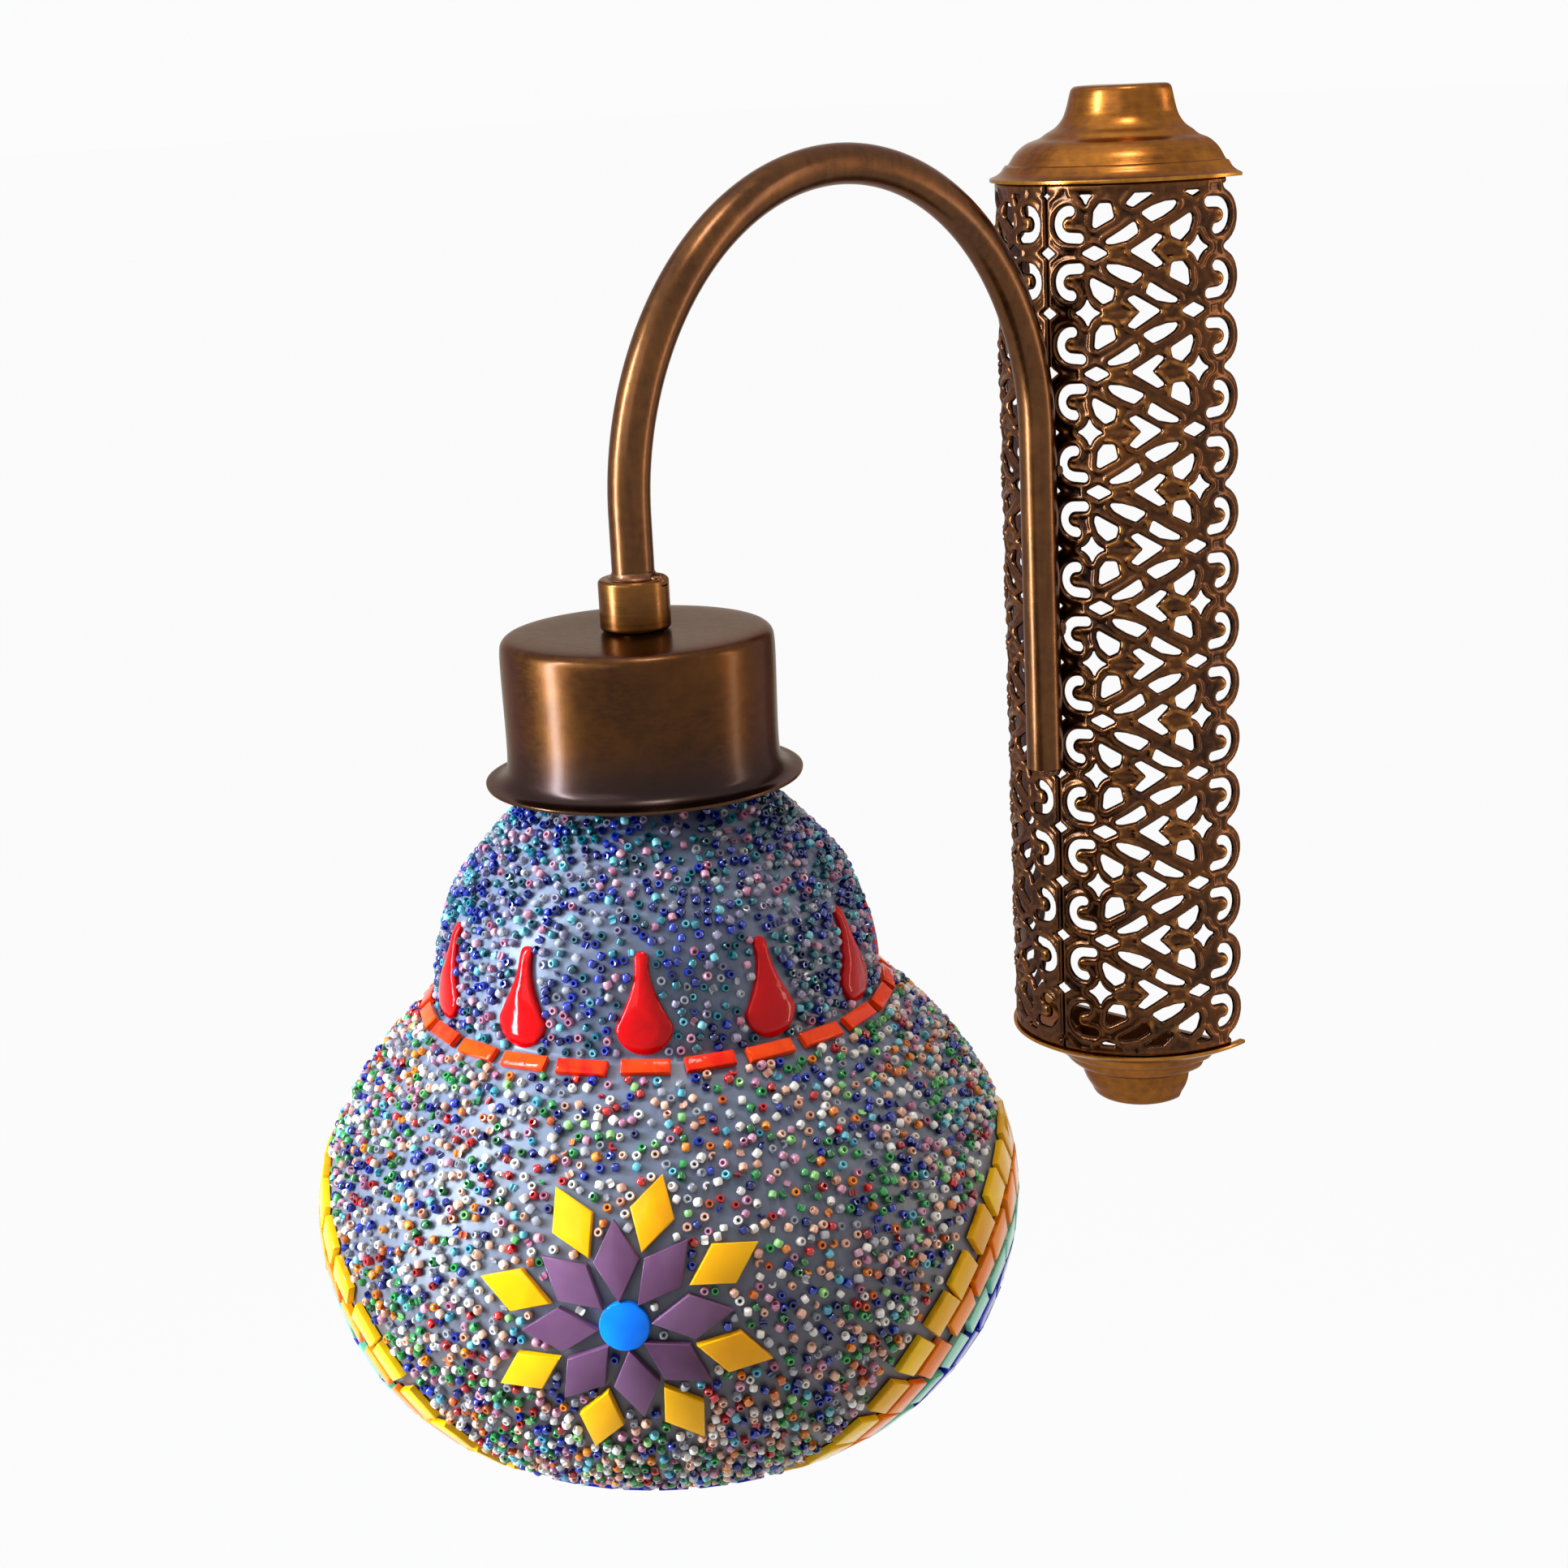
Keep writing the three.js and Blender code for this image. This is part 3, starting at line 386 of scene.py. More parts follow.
def ring_walls(path, radius, sides=TUBE_SIDES):
    """Rings along a path, one per point, joined into a tube wall."""
    points, faces = [], []
    for (y, z), (out_y, out_z) in path:
        for k in range(sides):
            angle = 2 * math.pi * k / sides
            across, sideways = radius * math.cos(angle), radius * math.sin(angle)
            points.append((sideways, y + out_y * across, z + out_z * across))
    for ring in range(len(path) - 1):
        for k in range(sides):
            after = (k + 1) % sides
            low, high = ring * sides, (ring + 1) * sides
            faces.append((low + k, low + after, high + after, high + k))
    return points, faces


def arch_tube():
    path = arch_path()
    outer, outer_faces = ring_walls(path, TUBE_RADIUS)
    inner, inner_faces = ring_walls(path, TUBE_RADIUS - TUBE_WALL)
    shift = len(outer)
    faces = outer_faces + [tuple(v + shift for v in face) for face in inner_faces]
    for ring in (0, len(path) - 1):
        for k in range(TUBE_SIDES):
            a, b = ring * TUBE_SIDES + k, ring * TUBE_SIDES + (k + 1) % TUBE_SIDES
            faces.append((a, b, b + shift, a + shift))
    made = mesh_piece("arch_tube", outer + inner, faces, "wall_bracket")
    keep_values(made, "rounding", np.zeros(len(outer) * 2))
    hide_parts("arm_tube")
    return made


tube = arch_tube()
print("arch radius", round(ARCH_RADIUS, 1), "tube faces", len(tube.data.polygons))

# %% [markdown]
# Solder
#
# The tube is soldered to the collar and to the seam of the column, and small runs of solder show
# there. A run is a lump with uneven sides, so each one is a ball whose points are pushed in and out
# by smooth noise before it is flattened against its joint.

# %% Drop the solder
LUMP_ROUGH = 0.22
FILLET_ROUGH = 0.35
FILLET_HOLLOW = 2.2
INTO_TUBE = 0.2
INTO_SEAT = 0.05


def solder_lump(name, place, size, seed):
    work = bmesh.new()
    bmesh.ops.create_icosphere(work, subdivisions=4, radius=1)
    for vert in work.verts:
        bump = 1 + LUMP_ROUGH * noise.noise(vert.co * 1.6 + Vector((seed, 0, 0)))
        vert.co = Vector(place) + Vector(c * s * bump for c, s in zip(vert.co, size))
    points = [tuple(v.co) for v in work.verts]
    faces = [[v.index for v in face.verts] for face in work.faces]
    work.free()
    made = mesh_piece(name, points, faces, "wall_bracket", crisp=math.pi)
    keep_values(made, "rounding", np.full(len(points), 0.25))
    return made


def solder_fillet(name, centre_y, low, inner, width, height, seed):
    """A ring of solder in the corner between the tube and what it stands on."""
    points, faces, sides, steps = [], [], 72, 7
    for k in range(sides):
        angle = 2 * math.pi * k / sides
        place = Vector((math.cos(angle) * 1.4, math.sin(angle) * 1.4, seed))
        uneven = 1 + FILLET_ROUGH * noise.noise(place)
        for i in range(steps):
            share = i / (steps - 1)
            radius = inner - INTO_TUBE + (INTO_TUBE + width * uneven) * share
            up = low + height * uneven * (1 - share) ** FILLET_HOLLOW
            points.append((radius * math.sin(angle), centre_y - radius * math.cos(angle), up))
        radius = inner - INTO_TUBE
        points.append((radius * math.sin(angle), centre_y - radius * math.cos(angle),
                       low - INTO_SEAT))
    ring = steps + 1
    for k in range(sides):
        after = (k + 1) % sides
        for i in range(ring):
            j = (i + 1) % ring
            faces.append((k * ring + i, after * ring + i, after * ring + j, k * ring + j))
    made = mesh_piece(name, points, faces, "wall_bracket", crisp=math.pi)
    keep_values(made, "rounding", np.full(len(points), 0.15))
    return made


near_leg_y = arch_y - ARCH_RADIUS
far_leg_y = arch_y + ARCH_RADIUS
solder = [
    solder_fillet("solder_at_collar", near_leg_y, collar_top, TUBE_RADIUS,
                  width=1.5, height=2.2, seed=3.0),
    solder_lump("solder_beside_collar", place=(7.4, near_leg_y + 2.5, collar_top - 0.9),
                size=(2.9, 2.6, 2.3), seed=5.0),
    solder_lump("solder_under_tube", place=(0.6, far_leg_y + 1.5, tube_low[2] - 1.2),
                size=(4.0, 3.4, 2.4), seed=1.0),
    solder_lump("solder_on_seam_high", place=(4.6, far_leg_y + 4.9, -98.0),
                size=(1.3, 1.5, 1.9), seed=2.0),
    solder_lump("solder_on_seam_low", place=(4.4, far_leg_y + 5.1, -150.0),
                size=(1.2, 1.4, 2.6), seed=4.0),
]
print("solder pieces", len(solder))

# %% [markdown]
# The pierced column
#
# The column is two strips of cast brass, pierced with scrolls, leaves and stars and bent into a
# quarter round each. A casting has no flat bars: every bar is a soft ridge. So the strip is first
# drawn flat, as a field that says how deep each place lies in the metal. The field is zero on the
# edge of an opening, and the metal rises with it like the back of a half-round wire.

# %% Measure how far places lie from a shape
SHEET = 1.6
ROWS = 15
PITCH = 19.0
SEAM_GAP = 0.15
FAR_AWAY = 1e9
strip_low, strip_high = box_of("filigree_band_right")
STRIP_EDGE = (strip_high[2] - strip_low[2] - ROWS * PITCH) / 2
STRIP_HALF = COLUMN_RADIUS * math.pi / 4 - SEAM_GAP
print("strip half width", round(STRIP_HALF, 2), "edge above the first row", round(STRIP_EDGE, 2))


def from_line(x, y, line):
    """Distance from places to a line through points."""
    nearest = np.full(x.shape, FAR_AWAY)
    for (ax, ay), (bx, by) in zip(line, line[1:]):
        across, down_by = bx - ax, by - ay
        along = ((x - ax) * across + (y - ay) * down_by) / (across ** 2 + down_by ** 2)
        along = np.clip(along, 0, 1)
        away = np.hypot(x - ax - along * across, y - ay - along * down_by)
        nearest = np.minimum(nearest, away)
    return nearest


def from_shape(x, y, corners, swell):
    """Distance from places to a shape whose corners are rounded: it is negative inside."""
    inside = np.zeros(x.shape, bool)
    for (ax, ay), (bx, by) in zip(corners, corners[1:] + corners[:1]):
        if ay != by:
            crosses = ((ay > y) != (by > y)) & (x < (bx - ax) * (y - ay) / (by - ay) + ax)
            inside ^= crosses
    distance = from_line(x, y, corners + corners[:1])
    return np.where(inside, -distance, distance) - swell


# %% Draw the openings of one row
SCROLL_CENTRE = (-25.7, 9.95)
SCROLL_REACH = 4.2
SCROLL_START, SCROLL_STEP, SCROLL_STEPS = -86, 14.2, 14
SCROLL_TAIL = (-22.4, 14.3)
SLOT_HALF = 1.62
HEART_SWELL, LEAF_SWELL = 0.95, 0.75
scroll_turn = [math.radians(SCROLL_START - SCROLL_STEP * k) for k in range(SCROLL_STEPS)]
SCROLL_LINE = [(SCROLL_CENTRE[0] + SCROLL_REACH * math.cos(a),
                SCROLL_CENTRE[1] + SCROLL_REACH * math.sin(a)) for a in scroll_turn]
SCROLL_LINE.append(SCROLL_TAIL)
HEART_LEFT = [(-16.9, 10.2), (-16.5, 6.4), (-15.0, 4.5), (-12.4, 4.5), (-11.7, 7.5)]
HEART_RIGHT = [(8.3, 11.9), (14.4, 8.7), (14.5, 9.8), (13.5, 12.7), (11.0, 14.9), (8.8, 13.9)]
LEAF_LOW = [(-12.8, 15.5), (-8.3, 12.9), (-4.4, 10.4), (-3.7, 12.6), (-6.8, 14.6), (-11.0, 15.5)]
LEAF_HIGH = [(-0.9, 7.0), (2.2, 5.5), (6.1, 4.4), (9.1, 4.3), (8.1, 5.6), (4.7, 7.6), (1.5, 8.9)]
KNOTS = [(-9.8, 6.2), (6.0, 12.4), (-2.6, 10.2)]
HEARTS_MIDDLE = -1.8
SCROLLS_MIDDLE = -0.4


def mirrored(points, middle, turn):
    return [(2 * middle - x, y) for x, y in points] if turn else points


def row_openings(x, y, turn):
    """Distance to the nearest opening of a row; every other row is the mirror image of the first."""
    scroll = mirrored(SCROLL_LINE, SCROLLS_MIDDLE, turn)
    other = [(2 * SCROLLS_MIDDLE - a, PITCH - b) for a, b in scroll]
    nearest = np.minimum(from_line(x, y, scroll), from_line(x, y, other)) - SLOT_HALF
    for shape, swell in ((HEART_LEFT, HEART_SWELL), (HEART_RIGHT, HEART_SWELL),
                         (LEAF_LOW, LEAF_SWELL), (LEAF_HIGH, LEAF_SWELL)):
        opening = from_shape(x, y, mirrored(shape, HEARTS_MIDDLE, turn), swell)
        nearest = np.minimum(nearest, opening)
    return nearest


# %% Draw the openings between two rows
CHEVRON = [(-4.9, -0.4), (2.9, -5.0), (4.4, -4.4), (0.3, -0.4), (4.4, 3.8), (2.9, 4.4)]
CHEVRON_MIDDLE = -0.85
LENS = [(-3.7, 0), (0, -1.8), (3.7, 0), (0, 1.8)]
LENS_SWELL = 0.55
STAR_ARM = 4.3
STAR_SWELL = 0.3
STAR_HOLLOW = 0.72
STAR_SIDES = 32
STAR_DOWN = -0.3
SEAM_DIAMOND = 1.6


def star_outline():
    """A star of four points, whose sides are hollow."""
    outline = []
    arm = STAR_ARM - STAR_SWELL
    for k in range(STAR_SIDES):
        turn = 2 * math.pi * k / STAR_SIDES
        reach = abs(math.cos(turn)) ** STAR_HOLLOW + abs(math.sin(turn)) ** STAR_HOLLOW
        reach = reach ** (-1 / STAR_HOLLOW)
        outline.append((reach * arm * math.cos(turn), reach * arm * math.sin(turn)))
    return outline


STAR = star_outline()


def level_openings(x, y, turn):
    """Distance to the nearest opening on a level between rows."""
    lens_at, star_at = (15.6, -20.0) if turn else (-17.3, 17.3)
    chevron = mirrored(CHEVRON, CHEVRON_MIDDLE, turn)
    nearest = from_shape(x - lens_at, y, LENS, LENS_SWELL)
    nearest = np.minimum(nearest, from_shape(x - star_at, y - STAR_DOWN, STAR, STAR_SWELL))
    nearest = np.minimum(nearest, from_shape(x, y, chevron, LENS_SWELL))
    diamond = (np.abs(x + STRIP_HALF) * 0.66 + np.abs(y)) * 0.83 - SEAM_DIAMOND
    return np.minimum(nearest, diamond)


# %% Join them into one field
GRID = 0.57
END_BAR = 0.9
FREE_EDGE = 27.4
END_REACH = 29.0
LOBE_CENTRE = 25.3
LOBE_RADIUS = 9.1
LOBE_BLEND = 2.0
LOBE_PAST_EDGE = 1.5


def metal_depth(x, y):
    """How deep a flat place lies in the metal; y runs down from the first level, both in mm."""
    row = np.clip(np.floor(y / PITCH), 0, ROWS - 1)
    down_row = y - row * PITCH
    odd = row % 2 == 1
    hole = np.where(odd, row_openings(x, down_row, True), row_openings(x, down_row, False))
    level = np.round(y / PITCH)
    from_level = y - level * PITCH
    cut = np.where(level % 2 == 0, level_openings(x, from_level, True),
                   level_openings(x, from_level, False))
    ends = np.maximum(END_BAR - y, y - (ROWS * PITCH - END_BAR))
    hole = np.maximum(np.minimum(hole, cut), ends)
    lobe = np.hypot(x - LOBE_CENTRE, down_row - PITCH / 2) - LOBE_RADIUS
    blend = np.clip(0.5 + 0.5 * (x - FREE_EDGE - lobe) / LOBE_BLEND, 0, 1)
    body = (x - FREE_EDGE) * (1 - blend) + lobe * blend - LOBE_BLEND * blend * (1 - blend)
    border = np.maximum(x - END_REACH, np.minimum(y, ROWS * PITCH - y))
    body = np.minimum(body, border)
    body = np.maximum(body, np.maximum(-STRIP_EDGE - y, y - ROWS * PITCH - STRIP_EDGE))
    body = np.maximum(body, -STRIP_HALF - x)
    return np.minimum(-body, hole)


across = np.arange(-STRIP_HALF - GRID, STRIP_HALF + LOBE_PAST_EDGE, GRID)
downs = np.arange(-STRIP_EDGE - GRID, ROWS * PITCH + STRIP_EDGE + GRID, GRID)
grid_x, grid_y = np.meshgrid(across, downs)
field = metal_depth(grid_x, grid_y)
print("grid of the strip", field.shape,
      "share that is metal", round(float((field > 0).mean()), 3))

# %% Cut the grid along the edges of the metal
SNAP_SHARE = 0.3
LEAST_SLOPE = 0.3


def snapped_grid():
    """Grid points close to an edge are moved onto it, so that no sliver is left."""
    lean_y, lean_x = np.gradient(field, GRID)
    length = np.maximum(np.hypot(lean_x, lean_y), LEAST_SLOPE)
    near = np.abs(field) < SNAP_SHARE * GRID
    x = np.where(near, grid_x - field * lean_x / length ** 2, grid_x)
    y = np.where(near, grid_y - field * lean_y / length ** 2, grid_y)
    return x, y, np.where(near, 0.0, field)


def metal_faces():
    """Points and faces of the flat strip where the field says metal."""
    x, y, depth = snapped_grid()
    points, number, faces = [], {}, []

    def point_at(key, place):
        if key not in number:
            number[key] = len(points)
            points.append(place)
        return number[key]

    some = np.maximum.reduce([depth[:-1, :-1], depth[1:, :-1], depth[:-1, 1:], depth[1:, 1:]]) > 0
    for i, j in zip(*np.nonzero(some)):
        corners = [(i, j), (i, j + 1), (i + 1, j + 1), (i + 1, j)]
        loop = []
        for a, b in zip(corners, corners[1:] + corners[:1]):
            da, db = depth[a], depth[b]
            if da >= 0:
                loop.append(point_at(a, (x[a], y[a], da)))
            if da * db < 0:
                share = da / (da - db)
                place = (x[a] + share * (x[b] - x[a]), y[a] + share * (y[b] - y[a]), 0.0)
                loop.append(point_at((min(a, b), max(a, b)), place))
        if len(loop) > 2:
            faces.append(loop)
    return np.array(points), faces


flat_points, flat_faces = metal_faces()
print("flat strip", len(flat_points), "points,", len(flat_faces), "faces")

# %% Raise the bars and bend the strip
BAR_ROUND = 1.45
VALLEY = 0.5
VALLEY_WIDTH = 0.9
EDGE_THICK = 0.26
DOME_THICK = 0.7
KNOT_LIFT = 0.55
KNOT_SIZE, HEAD_SIZE = 1.6, 2.3
TUCK = 0.6
TUCK_REACH = 1.2
CREST_START, CREST_SPAN = 0.4, 0.9
BAR_CORNER = math.radians(75)
LEAF_RIBS = [[(2.0, 0.0), (7.0, 0.3), (12.0, 0.0)], [(4.2, -2.3), (8.0, -3.0), (12.0, -1.6)],
             [(4.4, 2.4), (8.0, 3.0), (12.0, 1.7)]]
BUD_RIBS = [[(-6.2, 0.0), (-12.6, 0.0)], [(-7.2, -1.9), (-10.0, -3.4)], [(-7.2, 1.9), (-10.0, 3.4)]]
LONG_RIBS = [[(-13.2, -0.6), (-9.4, -2.9), (-3.0, -6.6)], [(-13.2, 0.6), (-9.4, 2.9), (-3.0, 6.6)]]


def rib_height(x, y, turn):
    """Ribs of the leaf and the bud on a level, and the strands that leave the lens beside them."""
    height = np.zeros(x.shape)
    for lines, size, lift in ((LEAF_RIBS, 1.1, 0.5), (BUD_RIBS, 1.0, 0.42), (LONG_RIBS, 1.1, 0.3)):
        for line in lines:
            far = from_line(x, y, mirrored(line, CHEVRON_MIDDLE, turn))
            height = np.maximum(height, lift * np.sqrt(np.clip(1 - (far / size) ** 2, 0, 1)))
    return height


def knot_height(x, y):
    """Small round knots where the strands meet, and on the head of each scroll."""
    row = np.clip(np.floor(y / PITCH), 0, ROWS - 1)
    down_row = y - row * PITCH
    height = np.zeros(x.shape)
    for turn in (False, True):
        heads = mirrored([SCROLL_CENTRE], SCROLLS_MIDDLE, turn)
        heads.append((2 * SCROLLS_MIDDLE - heads[0][0], PITCH - heads[0][1]))
        knots = mirrored(KNOTS, HEARTS_MIDDLE, turn)
        for spots, size in ((knots, KNOT_SIZE), (heads, HEAD_SIZE)):
            for a, b in spots:
                near = np.clip(1 - ((x - a) ** 2 + (down_row - b) ** 2) / size ** 2, 0, 1)
                lump = KNOT_LIFT * near ** 0.7
                height = np.where((row % 2 == 1) == turn, np.maximum(height, lump), height)
    level = np.round(y / PITCH)
    from_level = y - level * PITCH
    inside = (level > 0) & (level < ROWS)
    ribs = np.where(level % 2 == 0, rib_height(x, from_level, True),
                    rib_height(x, from_level, False))
    return np.maximum(height, np.where(inside, ribs, 0))


def bent_strip(name, node, hand):
    """The flat strip with its raised front, bent to a quarter round; its ends tuck into the caps."""
    depth = flat_points[:, 2]
    rise = np.clip(depth / BAR_ROUND, 0, 1)
    fall = np.clip((depth - BAR_ROUND) / VALLEY_WIDTH, 0, 1)
    dome = np.sqrt(1 - (1 - rise) ** 2) * (1 - VALLEY * fall * fall * (3 - 2 * fall))
    front = SHEET * (EDGE_THICK + DOME_THICK * dome)
    front = front + knot_height(flat_points[:, 0], flat_points[:, 1])
    middle_down = ROWS * PITCH / 2
    angle = math.pi / 4 + flat_points[:, 0] / COLUMN_RADIUS
    height = (strip_high[2] + strip_low[2]) / 2 + middle_down - flat_points[:, 1]
    from_ends = np.minimum(flat_points[:, 1], 2 * middle_down - flat_points[:, 1])
    tucked = TUCK * np.clip(1 - from_ends / TUCK_REACH, 0, 1)
    height = height + np.where(flat_points[:, 1] < middle_down, tucked, -tucked)
    layers = []
    for lift in (front, np.zeros(len(front))):
        radius = COLUMN_RADIUS - SHEET + lift
        layers.append(np.stack([hand * radius * np.sin(angle), -radius * np.cos(angle), height], 1))
    count = len(flat_points)
    uses = {}
    for face in flat_faces:
        for a, b in zip(face, face[1:] + face[:1]):
            uses[min(a, b), max(a, b)] = uses.get((min(a, b), max(a, b)), 0) + 1
    faces = list(flat_faces) + [[v + count for v in face[::-1]] for face in flat_faces]
    faces += [(a, b, b + count, a + count) for (a, b), times in uses.items() if times == 1]
    made = mesh_piece(name, np.concatenate(layers), faces, "wall_bracket",
                      crisp=BAR_CORNER)
    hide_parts(node)
    crest = np.clip((front / SHEET - CREST_START) / CREST_SPAN, 0, 1)
    keep_values(made, "rounding", np.concatenate([crest, np.zeros(count)]))
    print(name, len(made.data.polygons), "faces")
    return made


strips = [bent_strip("pierced_strip_right", "filigree_band_right", 1),
          bent_strip("pierced_strip_left", "filigree_band_left", -1)]

# %% [markdown]
# The glass globe
#
# The globe was blown into a mould: a narrow upper lobe, a crease at the waist and a wide round lower
# lobe. It is spun from its outline like the brass. The same outline then says where the mosaic goes.
# A place on the glass is given by how far down the glass it lies and how far round.

# %% Spin the globe and measure along its glass
GLOBE_STEPS = 160
LIP_BAND = 0.3
BEADS_ABOVE_WAIST = 1.25
BELOW_WAIST = 0.5

globe_outline, globe_closed = outline_of("glass_globe", LAMP_Y)
globe_line = smooth_outline(globe_outline, globe_closed, step=1.5, ease=0.4, corner=36)
glass = turned_piece("globe_glass", globe_line, globe_closed, LAMP_Y, "globe", "frosted_glass",
                     steps=GLOBE_STEPS)
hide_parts("glass_globe")

if globe_line[0][1] > globe_line[-1][1]:
    globe_line = globe_line[::-1]
lip = int(np.argmax(globe_line[:, 1] > globe_line[:, 1].max() - LIP_BAND))
outer_line = globe_line[:lip][::-1]
INTO_CUP = 1.0
FLANGE_Z = CUP_FOOT + INTO_CUP
outer_line = outer_line[outer_line[:, 1] < FLANGE_Z]
down = np.concatenate([[0], np.cumsum(np.hypot(*np.diff(outer_line, axis=0).T))])
slope = np.gradient(outer_line, down, axis=0)
slope /= np.hypot(*slope.T)[:, None]
WAIST_Z = box_of("bead_coat_upper")[0][2] - BEADS_ABOVE_WAIST
WAIST_DOWN = float(np.interp(-WAIST_Z, -outer_line[:, 1], down))
BELLY_Z = outer_line[np.argmax(outer_line[:, 0]), 1]
print("glass faces", len(glass.data.polygons), "length of the outline", round(down[-1], 1),
      "waist at", round(WAIST_DOWN, 1), "widest at", round(BELLY_Z, 1))


def on_glass(far_down, azimuth, out=0.0):
    """A point on the glass with its outward, downward and round directions."""
    radius, height = (np.interp(far_down, down, outer_line[:, k]) for k in (0, 1))
    step_r, step_z = (np.interp(far_down, down, slope[:, k]) for k in (0, 1))
    length = math.hypot(step_r, step_z)
    step_r, step_z = step_r / length, step_z / length
    ahead = Vector((math.sin(azimuth), -math.cos(azimuth), 0))
    outward = ahead * -step_z + Vector((0, 0, step_r))
    downward = ahead * step_r + Vector((0, 0, step_z))
    sideways = Vector((math.cos(azimuth), math.sin(azimuth), 0))
    place = Vector((0, LAMP_Y, height)) + ahead * radius + outward * out
    return place, outward, downward, sideways, radius


belly = down >= WAIST_DOWN + BELOW_WAIST
lift_angle = np.degrees(np.arctan2(outer_line[:, 1] - BELLY_Z, outer_line[:, 0]))


def down_at_lift(lift):
    """How far down the lower lobe lies a direction that is so many degrees above its middle."""
    return float(np.interp(-lift, -lift_angle[belly], down[belly]))


def seen_from_middle(azimuth, lift):
    """A direction from the middle of the lower lobe, both angles in radians."""
    return Vector((math.sin(azimuth) * math.cos(lift), -math.cos(azimuth) * math.cos(lift),
                   math.sin(lift)))


def seen_in_degrees(azimuth, lift):
    return seen_from_middle(math.radians(azimuth), math.radians(lift))


def place_round(centre, reach, bearing):
    """A place so many degrees from a centre, both seen from the middle of the lower lobe."""
    azimuth, lift = (math.radians(v) for v in centre)
    ahead = seen_from_middle(azimuth, lift)
    north = seen_from_middle(azimuth, lift + math.pi / 2)
    east = Vector((math.cos(azimuth), math.sin(azimuth), 0))
    turn, reach = math.radians(bearing), math.radians(reach)
    away = north * math.cos(turn) + east * math.sin(turn)
    aim = ahead * math.cos(reach) + away * math.sin(reach)
    lift = math.degrees(math.asin(max(-1, min(1, aim.z))))
    return down_at_lift(lift), math.atan2(aim.x, -aim.y)


# %% [markdown]
# Cut tiles
#
# The tiles are small panes of coloured glass, cut with a wheel, so they have flat faces, straight
# sides and slightly eased edges. Each is a low prism that is set on the glass along its own
# directions. All tiles of one colour make one mesh, and each tile keeps its own shade number, so
# that the colour can differ a little from tile to tile.

# %% Set flat tiles on the glass
TILE_THICK = 2.0
TILE_EASE = 0.35
TILE_CORNER = math.radians(50)
CUT_ERROR = 0.5
GLUE = 0.3
rng = random.Random(7)
covered = []


def tile_prism(shape, thick=TILE_THICK, ease=TILE_EASE):
    """Rings of points for a flat tile: foot, top of the side, eased edge, face."""
    shape = [Vector((x, y, 0)) for x, y in shape]
    reach = min(abs((a.cross(b)).z) / (b - a).length for a, b in zip(shape, shape[1:] + shape[:1]))
    small, smaller = 1 - ease * 0.4 / reach, 1 - ease / reach
    rings = [shape,
             [p + Vector((0, 0, thick - ease)) for p in shape],
             [p * small + Vector((0, 0, thick - ease * 0.3)) for p in shape],
             [p * smaller + Vector((0, 0, thick)) for p in shape]]
    return [p for ring in rings for p in ring], len(rings)


class TileSet:
    """Gathers the tiles of one colour into one mesh."""

    def __init__(self, name, slot):
        self.name, self.slot = name, slot
        self.points, self.faces, self.shades = [], [], []

    def add(self, far_down, azimuth, shape, toward=None, lean=0.0):
        place, outward, downward, _, _ = on_glass(far_down, azimuth, GLUE)
        if toward is None:
            along = downward * -1
        else:
            along = (toward - outward * toward.dot(outward)).normalized()
        across = along.cross(outward)
        if lean:
            turned = Matrix.Rotation(math.radians(lean), 3, outward)
            along, across = turned @ along, turned @ across
        local, rings = tile_prism(shape)
        count, shift, shade = len(shape), len(self.points), rng.random()
        for p in local:
            self.points.append(place + across * p.x + along * p.y + outward * p.z)
            self.shades.append(shade)
        for ring in range(rings - 1):
            for k in range(count):
                a, b = shift + ring * count + k, shift + ring * count + (k + 1) % count
                self.faces.append((a, b, b + count, a + count))
        self.faces.append([shift + k for k in reversed(range(count))])
        self.faces.append([shift + (rings - 1) * count + k for k in range(count)])
        covered.append((place, across, along, shape))

    def done(self, stands_for=None):
        made = mesh_piece(self.name, self.points, self.faces, "globe",
                          crisp=TILE_CORNER)
        keep_values(made, "shade", self.shades)
        if stands_for:
            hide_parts(stands_for)
        print(self.name, len(made.data.polygons), "faces")
        return made


def rhombus(wide, long):
    return [(0, -long / 2), (wide / 2, 0), (0, long / 2), (-wide / 2, 0)]


def uneven_square(wide, long):
    """A hand-cut tile whose corners are each a little off."""
    corners = ((-1, -1), (1, -1), (1, 1), (-1, 1))
    return [(x * wide / 2 + rng.uniform(-CUT_ERROR, CUT_ERROR),
             y * long / 2 + rng.uniform(-CUT_ERROR, CUT_ERROR)) for x, y in corners]


# %% [markdown]
# Rosettes and medallions
#
# On the front of the belly is a flower: a blue disc, eight purple lozenges round it and eight yellow
# ones in the gaps outside them, all pointing away from the disc. A medallion on each flank is made
# of rings of nearly square tiles: yellow, orange, green and dark blue towards its middle.

# %% Lay the rosettes
FLOWER_AZIMUTH = 39.5
ROSETTES = [(FLOWER_AZIMUTH, 2.6), (FLOWER_AZIMUTH + 180, 2.6)]
PETALS = 8
DISC_RADIUS = 6.7
DISC_SIDES = 40
PURPLE_REACH, PURPLE_TURN = 9.8, -6
YELLOW_REACH, YELLOW_TURN = 17.1, 17
PURPLE_SHAPE = rhombus(12.3, 21.5)
YELLOW_SHAPE = rhombus(12, 21)

